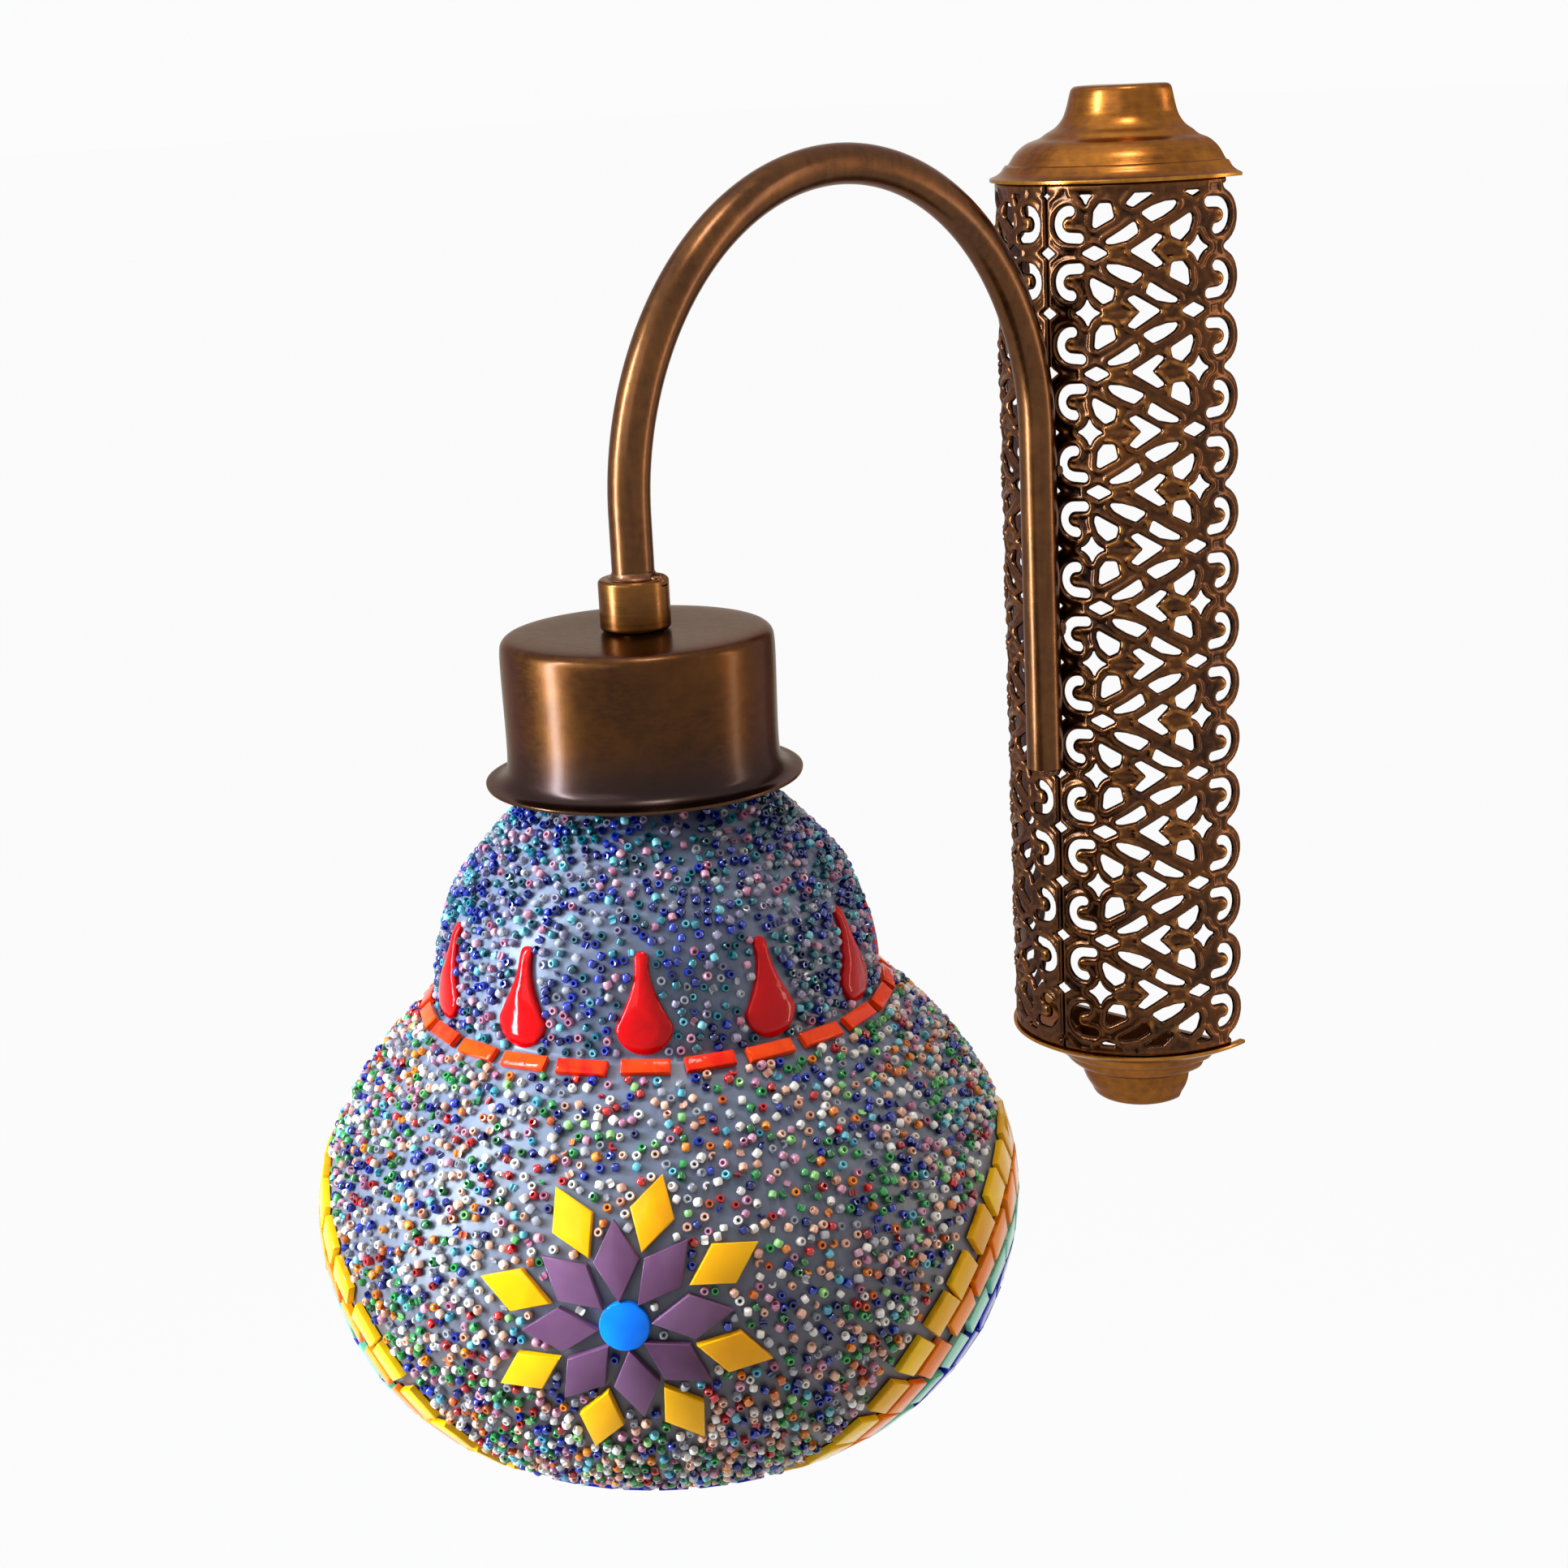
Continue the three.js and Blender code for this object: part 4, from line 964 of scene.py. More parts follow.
disc_tiles = TileSet("rosette_discs", "glass_beads")
purple_tiles = TileSet("rosette_lozenges_purple", "glass_beads")
yellow_tiles = TileSet("rosette_lozenges_yellow", "glass_beads")
round_shape = [(DISC_RADIUS * math.cos(a), DISC_RADIUS * math.sin(a))
               for a in np.linspace(0, 2 * math.pi, DISC_SIDES, endpoint=False)]
for centre in ROSETTES:
    middle_down, middle_azimuth = place_round(centre, 0, 0)
    middle_place = on_glass(middle_down, middle_azimuth)[0]
    disc_tiles.add(middle_down, middle_azimuth, round_shape)
    for k in range(PETALS):
        turned = 360 * k / PETALS
        for tiles, reach, turn, shape in (
            (purple_tiles, PURPLE_REACH, turned + PURPLE_TURN, PURPLE_SHAPE),
            (yellow_tiles, YELLOW_REACH, turned + YELLOW_TURN, YELLOW_SHAPE),
        ):
            far_down, azimuth = place_round(centre, reach + rng.uniform(-0.3, 0.3),
                                            turn + rng.uniform(-1.5, 1.5))
            outward_line = on_glass(far_down, azimuth)[0] - middle_place
            tiles.add(far_down, azimuth, shape, outward_line, rng.uniform(-2, 2))

# %% Lay the medallions
MEDALLIONS = [(130, -33), (-50, -33)]
MEDALLION_EDGE = 47.5
MEDALLION_RINGS = [("yellow", 42.6, 32), ("orange", 36.4, 28), ("green", 30.2, 24),
                   ("blue", 24.0, 20), ("blue_inner", 17.8, 15), ("yellow_inner", 11.6, 10),
                   ("orange_inner", 5.4, 5)]
BELLY_REACH = 101
TILE_TALL = 8.8
MEDALLION_GAP = 2.3
medallion_tiles = {}
for ring, reach, count in MEDALLION_RINGS:
    tiles = TileSet("medallion_" + ring, "glass_beads")
    for centre in MEDALLIONS:
        middle_place = on_glass(*place_round(centre, 0, 0))[0]
        wide = 2 * math.pi * BELLY_REACH * math.sin(math.radians(reach)) / count - MEDALLION_GAP
        for k in range(count):
            turn = 360 * (k + 0.5) / count + rng.uniform(-0.8, 0.8)
            far_down, azimuth = place_round(centre, reach, turn)
            outward_line = on_glass(far_down, azimuth)[0] - middle_place
            tiles.add(far_down, azimuth, uneven_square(wide, TILE_TALL), outward_line,
                      rng.uniform(-3.5, 3.5))
    medallion_tiles[ring] = tiles.done()

# %% Lay rings of tiles round the bottom
BOTTOM_RINGS = [("blue", -43.5, 40), ("orange", -54.5, 32), ("yellow", -65.5, 22),
                ("green", -76.5, 12)]
BOTTOM_GAP = 2.0
CLEAR_OF_MEDALLION = 3.5
bottom_tiles = {}
for ring, lift, count in BOTTOM_RINGS:
    tiles = TileSet("bottom_ring_" + ring, "glass_beads")
    far_down = down_at_lift(lift)
    for k in range(count):
        azimuth = math.radians(FLOWER_AZIMUTH + 360 * (k + 0.5) / count)
        radius = on_glass(far_down, azimuth)[4]
        aim = seen_from_middle(azimuth, math.radians(lift))
        away = min(math.degrees(aim.angle(seen_in_degrees(*centre))) for centre in MEDALLIONS)
        if away > MEDALLION_EDGE + CLEAR_OF_MEDALLION:
            wide = 2 * math.pi * radius / count - BOTTOM_GAP
            tiles.add(far_down, azimuth, uneven_square(wide, TILE_TALL),
                      lean=rng.uniform(-2.5, 2.5))
    bottom_tiles[ring] = tiles.done()

discs = disc_tiles.done()
purples = purple_tiles.done()
yellows = yellow_tiles.done()

# %% Lay the band of tiles under the waist
band_tiles = TileSet("waist_band_tiles", "orange_glass")
BAND_COUNT = 24
BAND_DOWN = WAIST_DOWN + 3.8
BAND_HALF_TALL = 2.1
FIRST_DROP = 43.5
for k in range(BAND_COUNT):
    azimuth = math.radians(FIRST_DROP + 360 * k / BAND_COUNT)
    long, tall = rng.uniform(6.6, 7.1), BAND_HALF_TALL
    shape = [(-long, -tall), (long, -tall), (long, tall), (-long, tall)]
    band_tiles.add(BAND_DOWN + rng.uniform(-0.2, 0.2), azimuth, shape, lean=rng.uniform(-2.5, 2.5))
band = band_tiles.done("tile_band")

# %% [markdown]
# Red teardrops
#
# Eleven moulded drops of red glass hang from the neck of the globe like petals. Each one follows the
# curve of the glass and swells in the middle. The drop is a sheet of points laid across and along
# its outline, lifted by a dome that falls to a low rim at the edge.

# %% Build one teardrop and repeat it
TEARDROPS = 11
DROP_HALF_WIDTH = 7.7
DROP_TIP = 1.9
DROP_NECK = 3.5
DROP_ROWS, DROP_COLUMNS = 44, 17
DROP_RIM = 0.5
DROP_CORNER = math.radians(60)
drop_low, drop_high = box_of("teardrop_tile_01")
DROP_TOP_DOWN, drop_foot_down = np.interp([-drop_high[2] + 0.6, -drop_low[2] + 0.6],
                                          -outer_line[:, 1], down)
DROP_LENGTH = float(drop_foot_down - DROP_TOP_DOWN)
print("teardrop length along the glass", round(DROP_LENGTH, 2),
      "foot above the waist", round(WAIST_DOWN - drop_foot_down, 2))


def drop_half_width(along):
    """Half the width of a teardrop at a distance below its tip, 0 outside it."""
    bulb_centre = DROP_LENGTH - DROP_HALF_WIDTH
    if along <= 0 or along >= DROP_LENGTH:
        return 0.0
    if along > bulb_centre:
        return math.sqrt(max(0.0, DROP_HALF_WIDTH ** 2 - (along - bulb_centre) ** 2))
    round_tip = DROP_TIP
    if along < DROP_TIP:
        round_tip = math.sqrt(max(0.0, DROP_TIP ** 2 - (DROP_TIP - along) ** 2))
    share = min(1, max(0, (along - DROP_NECK) / (bulb_centre - DROP_NECK)))
    return round_tip + (DROP_HALF_WIDTH - DROP_TIP) * share ** 2.1 * (1.6 - 0.6 * share)


def drop_point(azimuth, i, j, lifted):
    """A point of a teardrop in row i and column j, on its dome or on the glue under its edge."""
    along = DROP_LENGTH * (0.5 - 0.5 * math.cos(math.pi * (i / (DROP_ROWS - 1))))
    half = max(0.03, drop_half_width(min(max(along, 0.02), DROP_LENGTH - 0.02)))
    across = -math.cos(math.pi * j / (DROP_COLUMNS - 1))
    out = GLUE * 0.5
    if lifted:
        dome = math.sqrt(max(0.0, 1 - across ** 2))
        from_end = 2.2 * min(along, DROP_LENGTH - along) / DROP_HALF_WIDTH
        ends = math.sqrt(max(0.0, min(1.0, from_end)))
        out = GLUE + (DROP_RIM + (0.9 + 1.0 * min(1.0, half / 5)) * dome ** 0.8 * ends)
    radius = on_glass(DROP_TOP_DOWN + along, azimuth)[4]
    return on_glass(DROP_TOP_DOWN + along, azimuth + across * half / radius, out)[0]


def teardrop(number):
    azimuth = math.radians(FIRST_DROP + 360 * number / TEARDROPS)
    last_row, last_column = DROP_ROWS - 1, DROP_COLUMNS - 1
    points, top, foot = [], {}, {}
    for i in range(DROP_ROWS):
        for j in range(DROP_COLUMNS):
            top[i, j] = len(points)
            points.append(drop_point(azimuth, i, j, True))
    edge = [(0, j) for j in range(DROP_COLUMNS)] + [(i, last_column) for i in range(1, DROP_ROWS)]
    edge += [(last_row, j) for j in range(last_column - 1, -1, -1)]
    edge += [(i, 0) for i in range(last_row - 1, 0, -1)]
    for i, j in edge:
        foot[i, j] = len(points)
        points.append(drop_point(azimuth, i, j, False))
    faces = [(top[i, j], top[i, j + 1], top[i + 1, j + 1], top[i + 1, j])
             for i in range(last_row) for j in range(last_column)]
    for here, after in zip(edge, edge[1:] + edge[:1]):
        faces.append((top[here], top[after], foot[after], foot[here]))
    faces.append([foot[key] for key in edge])
    made = mesh_piece("teardrop_%02d" % (number + 1), points, faces, "globe",
                      crisp=DROP_CORNER)
    keep_values(made, "shade", np.full(len(points), rng.random()))
    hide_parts("teardrop_tile_%02d" % (number + 1))
    return made


drops = [teardrop(k) for k in range(TEARDROPS)]
print(len(drops), "teardrops of", len(drops[0].data.polygons), "faces")

# %% [markdown]
# Beads
#
# The rest of the glass is strewn with short cut glass tubes, thrown on wet glue: some stand on end
# and show their hole, some lie on their side, and a few are broken. Scattering them one at a time
# with a least distance gives the loose, even spread of a hand throw. Each colour is one mesh.

# %% Shape one bead, whole and broken
BEAD_SIZE = 2.55
BEAD_HOLE = 0.98
BEAD_LENGTH = 1.95
BEAD_SIDES = 10
BROKEN_SHARE, HALF_SHARE = 0.55, 0.35


def bead_shape(share=1.0):
    """Points and faces of a bead round the z axis, or of the given share of its ring."""
    outer, hole, half = BEAD_SIZE / 2, BEAD_HOLE / 2, BEAD_LENGTH / 2
    section = [(outer, -half * 0.5), (outer, half * 0.5), (outer * 0.8, half),
               (hole * 1.25, half * 0.96), (hole, 0), (hole * 1.25, -half * 0.96),
               (outer * 0.8, -half)]
    whole = share >= 1
    sides = BEAD_SIDES if whole else max(3, round(BEAD_SIDES * share))
    rings = sides if whole else sides + 1
    turns = [2 * math.pi * share * k / sides for k in range(rings)]
    points = [(r * math.cos(turn), r * math.sin(turn), z) for turn in turns for r, z in section]
    count = len(section)
    faces = []
    for k in range(sides):
        here, after = k * count, (k + 1) % rings * count
        for i in range(count):
            j = (i + 1) % count
            faces.append((here + i, after + i, after + j, here + j))
    if not whole:
        faces += [list(range(count))[::-1], [sides * count + i for i in range(count)]]
    return np.array(points), faces


whole_bead, broken_bead, half_bead = bead_shape(), bead_shape(BROKEN_SHARE), bead_shape(HALF_SHARE)
print("points of one whole bead", len(whole_bead[0]))

# %% Scatter the beads where no tile lies
BEAD_GAP = 2.42
DROP_CLEAR = 3
DROP_MARGIN = 1.5
TILE_MARGIN = 1.45
TILE_REACH = 20
FLOWER_REACH = 48
BOTTOM_LIFT = -38
SLICES = 400
UPPER_TRIES, LOWER_TRIES = 14000, 36000


def in_teardrop(far_down, azimuth, radius):
    if not -DROP_CLEAR <= far_down - DROP_TOP_DOWN <= DROP_LENGTH + DROP_CLEAR:
        return False
    pitch = 2 * math.pi / TEARDROPS
    turn = (azimuth - math.radians(FIRST_DROP) + pitch / 2) % pitch - pitch / 2
    along = min(max(far_down - DROP_TOP_DOWN, 0.6), DROP_LENGTH - 0.6)
    return abs(turn) * radius < drop_half_width(along) + DROP_MARGIN


def in_shape(place, tile):
    centre, across, along, shape = tile
    offset = place - centre
    if offset.length_squared > TILE_REACH ** 2:
        return False
    x, y = offset.dot(across), offset.dot(along)
    for (ax, ay), (bx, by) in zip(shape, shape[1:] + shape[:1]):
        length = math.hypot(bx - ax, by - ay)
        if ((bx - ax) * (y - ay) - (by - ay) * (x - ax)) / length < -TILE_MARGIN:
            return False
    return True


def stands_alone(tile):
    """Whether a tile of a rosette or of the bottom has beads beside it."""
    near_flower = any((tile[0] - on_glass(*place_round(centre, 0, 0))[0]).length < FLOWER_REACH
                      for centre in ROSETTES)
    return near_flower or tile[0].z < on_glass(down_at_lift(BOTTOM_LIFT), 0)[0].z


flower_tiles = [tile for tile in covered if stands_alone(tile)]


def near_medallion(azimuth, lift):
    aim = seen_from_middle(azimuth, math.radians(lift))
    return any(math.degrees(aim.angle(seen_in_degrees(*centre))) < MEDALLION_EDGE
               for centre in MEDALLIONS)


def scatter(first, last, tries, seed):
    """Places for beads between two distances down the glass, none too near another."""
    dice = random.Random(seed)
    slices = np.linspace(first, last, SLICES)
    radii = np.interp(slices, down, outer_line[:, 0])
    share = np.cumsum(radii) / radii.sum()
    cells, kept = {}, []
    for _ in range(tries):
        far_down = float(np.interp(dice.random(), share, slices))
        azimuth = dice.uniform(0, 2 * math.pi)
        place, outward, downward, sideways, radius = on_glass(far_down, azimuth)
        cell = tuple(int(c // BEAD_GAP) for c in place)
        around = [cells.get((cell[0] + i, cell[1] + j, cell[2] + k), ())
                  for i in (-1, 0, 1) for j in (-1, 0, 1) for k in (-1, 0, 1)]
        if any((place - other).length < BEAD_GAP for group in around for other in group):
            continue
        if in_teardrop(far_down, azimuth, radius):
            continue
        lift = math.degrees(math.atan2(place.z - BELLY_Z, radius))
        if far_down > WAIST_DOWN and near_medallion(azimuth, lift):
            continue
        if any(in_shape(place, tile) for tile in flower_tiles):
            continue
        cells.setdefault(cell, []).append(place)
        kept.append((place, outward, downward, sideways))
    return kept


upper_places = scatter(first=5.0, last=WAIST_DOWN - 0.6, tries=UPPER_TRIES, seed=11)
lower_places = scatter(first=BAND_DOWN + 3.6, last=down[-1] - 1.0, tries=LOWER_TRIES, seed=12)
print("beads on the upper lobe", len(upper_places), "and on the lower lobe", len(lower_places))

# %% Build the beads by colour
STANDING = 0.42
WHOLE, NOT_HALF = 0.9, 0.96
SUNK = 0.86
OFF_GLASS = 0.1
UPPER_MIX = {"cobalt": 34, "teal": 22, "cyan": 8, "rose": 12, "clear": 11, "lilac": 13}
LOWER_MIX = {"white": 17, "clear": 9, "peach": 13, "rose": 9, "cobalt": 15, "green": 12,
             "cyan": 6, "orange": 9, "red": 7, "lime": 3}


def bead_frame(dice, outward, downward, sideways):
    """A bead's own directions: standing on end, or lying on its side."""
    spin = dice.uniform(0, 2 * math.pi)
    flat = downward * math.cos(spin) + sideways * math.sin(spin)
    if dice.random() < STANDING:
        tilt = Matrix.Rotation(math.radians(dice.gauss(0, 14)), 3, flat)
        axis = tilt @ outward
        lift = BEAD_LENGTH / 2
    else:
        tilt = Matrix.Rotation(math.radians(dice.gauss(0, 12)), 3, flat.cross(outward))
        axis = tilt @ flat
        lift = BEAD_SIZE / 2
    first = axis.cross(flat if abs(axis.dot(flat)) < 0.8 else outward).normalized()
    return np.array((first, axis.cross(first), axis)), lift


def bead_meshes(lobe, places, mix, seed):
    dice = random.Random(seed)
    names, weights = list(mix), list(mix.values())
    bags = {name: ([], [], []) for name in names}
    for place, outward, downward, sideways in places:
        points, faces, shades = bags[dice.choices(names, weights)[0]]
        directions, lift = bead_frame(dice, outward, downward, sideways)
        size = dice.uniform(0.86, 1.06)
        kind = dice.random()
        shape, shape_faces = whole_bead
        if kind >= WHOLE:
            shape, shape_faces = broken_bead if kind < NOT_HALF else half_bead
        middle = place + outward * (lift * size * SUNK + OFF_GLASS)
        shift = sum(len(p) for p in points)
        points.append(shape * size @ directions + np.array(middle))
        faces += [[v + shift for v in face] for face in shape_faces]
        shades.append(np.full(len(shape), dice.random()))
    made = {}
    for name, (points, faces, shades) in bags.items():
        piece = mesh_piece("beads_%s_%s" % (lobe, name), np.concatenate(points), faces, "globe")
        keep_values(piece, "shade", np.concatenate(shades))
        made[name] = piece
        print(piece.name, len(piece.data.polygons), "faces")
    return made


upper_beads = bead_meshes("upper", upper_places, UPPER_MIX, 21)
lower_beads = bead_meshes("lower", lower_places, LOWER_MIX, 22)
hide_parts("bead_coat_upper")
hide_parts("bead_coat_lower")

# %% [markdown]
# Shader groups
#
# Several finishes share the same effects. The brown of aged brass lies in soft patches, its edges
# are rubbed bright, spinning and brushing leave fine lines, poured glass ripples, and some colours
# change with height, which paints shade low on the cup and on the globe. Each effect is built once
# as a group with named sockets, and gives out only a mask or a height.

# %% Build the shader groups
def new_group(name, inputs, outputs):
    group = bpy.data.node_groups.new(name, "ShaderNodeTree")
    for socket, value in inputs:
        kind = "NodeSocketVector" if value is None else "NodeSocketFloat"
        made = group.interface.new_socket(socket, in_out="INPUT", socket_type=kind)
        if value is not None:
            made.default_value = value
    for socket in outputs:
        group.interface.new_socket(socket, in_out="OUTPUT", socket_type="NodeSocketFloat")
    given = group.nodes.new("NodeGroupInput").outputs
    return group, given, group.nodes.new("NodeGroupOutput").inputs


def feed(tree, socket, value):
    """A link into the socket, or its plain value."""
    if isinstance(value, bpy.types.NodeSocket):
        tree.links.new(value, socket)
    else:
        socket.default_value = value


def add(tree, kind, values=None, **settings):
    """A node with its settings, its plain values and its links."""
    node = tree.nodes.new(kind)
    for key, value in settings.items():
        setattr(node, key, value)
    for socket, value in (values or {}).items():
        feed(tree, node.inputs[socket], value)
    return node


def arithmetic(tree, operation, first, second, third=None, clamp=False):
    values = {0: first, 1: second}
    if third is not None:
        values[2] = third
    return add(tree, "ShaderNodeMath", values, operation=operation, use_clamp=clamp).outputs[0]


def soft_step(tree, value, start, full):
    return add(tree, "ShaderNodeMapRange", {"Value": value, "From Min": start, "From Max": full},
               interpolation_type="SMOOTHSTEP").outputs[0]


def patches_group():
    group, given, out = new_group("patina_patches", [
        ("Place", None), ("Patch Size", 30.0), ("Contrast", 2.0)], ["Tone", "Fine"])
    wide = add(group, "ShaderNodeTexNoise", {"Vector": given["Place"], "Scale": given["Patch Size"],
                                             "Detail": 5.0, "Roughness": 0.6, "Distortion": 0.4})
    scale = arithmetic(group, "MULTIPLY", given["Patch Size"], 9.0)
    fine = add(group, "ShaderNodeTexNoise", {"Vector": given["Place"], "Scale": scale,
                                             "Detail": 3.0})
    mixed = arithmetic(group, "MULTIPLY_ADD", fine.outputs["Fac"], 0.3, arithmetic(
        group, "MULTIPLY", wide.outputs["Fac"], 0.7))
    centred = arithmetic(group, "SUBTRACT", mixed, 0.5)
    tone = arithmetic(group, "MULTIPLY_ADD", centred, given["Contrast"], 0.5, clamp=True)
    group.links.new(tone, out["Tone"])
    group.links.new(fine.outputs["Fac"], out["Fine"])
    return group


def worn_group():
    group, given, out = new_group("worn_edges", [
        ("Edge", 0.0), ("Break Up", 0.5), ("Start", 0.2), ("Full", 0.7)], ["Worn"])
    uneven = arithmetic(group, "MULTIPLY_ADD", given["Break Up"], 0.5, -0.25)
    edge = arithmetic(group, "ADD", given["Edge"], uneven)
    group.links.new(soft_step(group, edge, given["Start"], given["Full"]), out["Worn"])
    return group


def height_group():
    """How far a place has risen from one level to another, from 0 to 1; levels in metres."""
    group, given, out = new_group("rise_with_height", [
        ("Place", None), ("Low", 0.0), ("High", 1.0)], ["Share"])
    level = add(group, "ShaderNodeSeparateXYZ", {0: given["Place"]}).outputs["Z"]
    group.links.new(soft_step(group, level, given["Low"], given["High"]), out["Share"])
    return group


def lines_group():
    group, given, out = new_group("turned_lines", [
        ("Place", None), ("Stretch X", 1.0), ("Stretch Y", 1.0), ("Stretch Z", 1.0)], ["Line"])
    stretch = add(group, "ShaderNodeCombineXYZ", {"X": given["Stretch X"], "Y": given["Stretch Y"],
                                                  "Z": given["Stretch Z"]})
    scaled = add(group, "ShaderNodeVectorMath", {0: given["Place"], 1: stretch.outputs[0]},
                 operation="MULTIPLY")
    lines = add(group, "ShaderNodeTexNoise", {"Vector": scaled.outputs[0], "Scale": 1.0,
                                              "Detail": 4.0, "Roughness": 0.7})
    group.links.new(lines.outputs["Fac"], out["Line"])
    return group


def ripple_group():
    group, given, out = new_group("poured_glass", [
        ("Place", None), ("Scale", 60.0), ("Shade", 0.5), ("Spread", 0.5)], ["Tone", "Height"])
    flow = add(group, "ShaderNodeTexNoise", {"Vector": given["Place"], "Scale": given["Scale"],
                                             "Detail": 2.0, "Distortion": 1.2})
    own = arithmetic(group, "SUBTRACT", given["Shade"], 0.5)
    tone = arithmetic(group, "MULTIPLY_ADD", own, given["Spread"], flow.outputs["Fac"], clamp=True)
    group.links.new(tone, out["Tone"])
    group.links.new(flow.outputs["Fac"], out["Height"])
    return group


PATCHES, WORN, LINES = patches_group(), worn_group(), lines_group()
RIPPLE, RISE = ripple_group(), height_group()
print("shader groups", [group.name for group in (PATCHES, WORN, LINES, RIPPLE, RISE)])


# %% Helpers to fill a material
def new_material(name):
    material = bpy.data.materials.new(name)
    material.use_nodes = True
    tree = material.node_tree
    shader = tree.nodes["Principled BSDF"]
    place = tree.nodes.new("ShaderNodeTexCoord").outputs["Object"]
    return material, tree, shader, place


def use(tree, group, **values):
    node = tree.nodes.new("ShaderNodeGroup")
    node.node_tree = group
    for key, value in values.items():
        feed(tree, node.inputs[key.replace("_", " ")], value)
    return node.outputs


def blend_colours(tree, share, first, second):
    node = add(tree, "ShaderNodeMix", data_type="RGBA")
    for number, value in ((0, share), (6, first), (7, second)):
        feed(tree, node.inputs[number], value)
    return node.outputs[2]


def stored(tree, name):
    return add(tree, "ShaderNodeAttribute", attribute_name=name).outputs["Fac"]


def bump(tree, height, strength, distance):
    return add(tree, "ShaderNodeBump", {"Height": height, "Strength": strength,
                                        "Distance": distance}).outputs[0]


def rgb(red, green, blue):
    """A colour as seen on a screen, 0 to 255, turned into the linear colour a shader takes."""
    def linear(value):
        value /= 255
        return value / 12.92 if value <= 0.04045 else ((value + 0.055) / 1.055) ** 2.4
    return (linear(red), linear(green), linear(blue), 1)


# %% [markdown]
# Aged brass
#
# The brass was dipped brown and then rubbed back, so the hollows stay dark and the high places turn
# golden. On the pierced strips the hollows are darkened further as painted shade, and near the foot
# of the cup the brown turns to a painted shade of dark blue-grey. The metal shader takes its colour
# from three tones: dark, middle and rubbed. The rubbed tone follows the rounding that each mesh keeps
# from its own outline. A thin clear lacquer over the brown gives the pale, soft highlights.

# %% Make the brass finishes
LACQUER_TINT = (0.55, 0.42, 0.3, 1)
LACQUER_ROUGH = 0.2
LACQUER_IOR = 1.4
FOOT_SHADE_MOST = 0.85


def aged_metal(name, dark, middle, rubbed, stretch, patch=28.0, start=0.25, full=0.8, rough=0.3,
               coat=0.3, grain=0.00012, contrast=2.0, hollow=0.0, painted_foot_shade=None):
    """Brass in three tones; the last argument, when given, is two levels in mm and the colour of the
    painted shade that darkens the metal below them.
    """
    material, tree, shader, place = new_material(name)
    tones = use(tree, PATCHES, Place=place, Patch_Size=patch, Contrast=contrast)
    lines = use(tree, LINES, Place=place, Stretch_X=stretch[0], Stretch_Y=stretch[1],
                Stretch_Z=stretch[2])
    height = stored(tree, "rounding")
    worn = use(tree, WORN, Edge=height, Break_Up=tones["Fine"], Start=start, Full=full)
    # Where hollow is set, places low on the bars turn darker: partly the patina left in the hollows,
    # partly painted shade.
    share = arithmetic(tree, "MULTIPLY_ADD", height, hollow, tones["Tone"])
    share = arithmetic(tree, "SUBTRACT", share, 0.5 * hollow, clamp=True)
    brown = blend_colours(tree, share, rgb(*dark), rgb(*middle))
    line_share = arithmetic(tree, "MULTIPLY_ADD", lines["Line"], 1.1, -0.45, clamp=True)
    lined = blend_colours(tree, line_share, brown, rgb(*middle))
    rubbed_share = worn["Worn"]
    # Painted shade: below the given levels the metal is darkened to a dark blue-grey, and no rubbed
    # edges show there.
    if painted_foot_shade:
        low, high, foot_shade_colour = painted_foot_shade
        risen = use(tree, RISE, Place=place, Low=low * MM, High=high * MM)["Share"]
        foot_shade_share = arithmetic(tree, "MULTIPLY_ADD", risen, -FOOT_SHADE_MOST, FOOT_SHADE_MOST)
        patchy = arithmetic(tree, "MULTIPLY_ADD", tones["Tone"], 0.4, 0.7)
        uneven = arithmetic(tree, "MULTIPLY", foot_shade_share, patchy, clamp=True)
        lined = blend_colours(tree, uneven, lined, rgb(*foot_shade_colour))
        rubbed_share = arithmetic(tree, "MULTIPLY", worn["Worn"],
                                  arithmetic(tree, "SUBTRACT", 1.0, foot_shade_share))
    colour = blend_colours(tree, rubbed_share, lined, rgb(*rubbed))
    tree.links.new(colour, shader.inputs["Base Color"])
    shader.inputs["Metallic"].default_value = 1.0
    shader.inputs["Specular Tint"].default_value = LACQUER_TINT
    roughness = arithmetic(tree, "MULTIPLY_ADD", lines["Line"], 0.2, rough - 0.1)
    roughness = arithmetic(tree, "MULTIPLY_ADD", worn["Worn"], -0.06, roughness)
    tree.links.new(roughness, shader.inputs["Roughness"])
    grit = arithmetic(tree, "MULTIPLY_ADD", tones["Fine"], 0.5, lines["Line"])
    tree.links.new(bump(tree, grit, 0.35, grain), shader.inputs["Normal"])
    shader.inputs["Coat Weight"].default_value = coat
    shader.inputs["Coat Roughness"].default_value = LACQUER_ROUGH
    shader.inputs["Coat IOR"].default_value = LACQUER_IOR
    return material


cap_brass = aged_metal("spun_brass_golden", (84, 42, 8), (150, 92, 24), (182, 126, 44),
                       (30, 30, 900), rough=0.27, start=0.6, full=1.5, contrast=3.2, patch=34)
# The cup gets painted shade near its foot, just above the globe.
cup_brass = aged_metal("spun_brass_brown", (32, 15, 4), (84, 48, 14), (158, 108, 40),
                       (300, 300, 900), patch=22, rough=0.32, start=0.3, full=1.3, coat=0.26,
                       painted_foot_shade=(CUP_FOOT + 3, CUP_FOOT + 21, (26, 21, 26)))
collar_brass = aged_metal("turned_brass_brown", (62, 34, 10), (124, 78, 28), (190, 134, 54),
                          (40, 40, 900), start=0.4, full=1.0)
tube_brass = aged_metal("drawn_brass_brown", (48, 24, 9), (104, 64, 28), (150, 104, 50),
                        (500, 500, 60), patch=40, rough=0.3, coat=0.35)
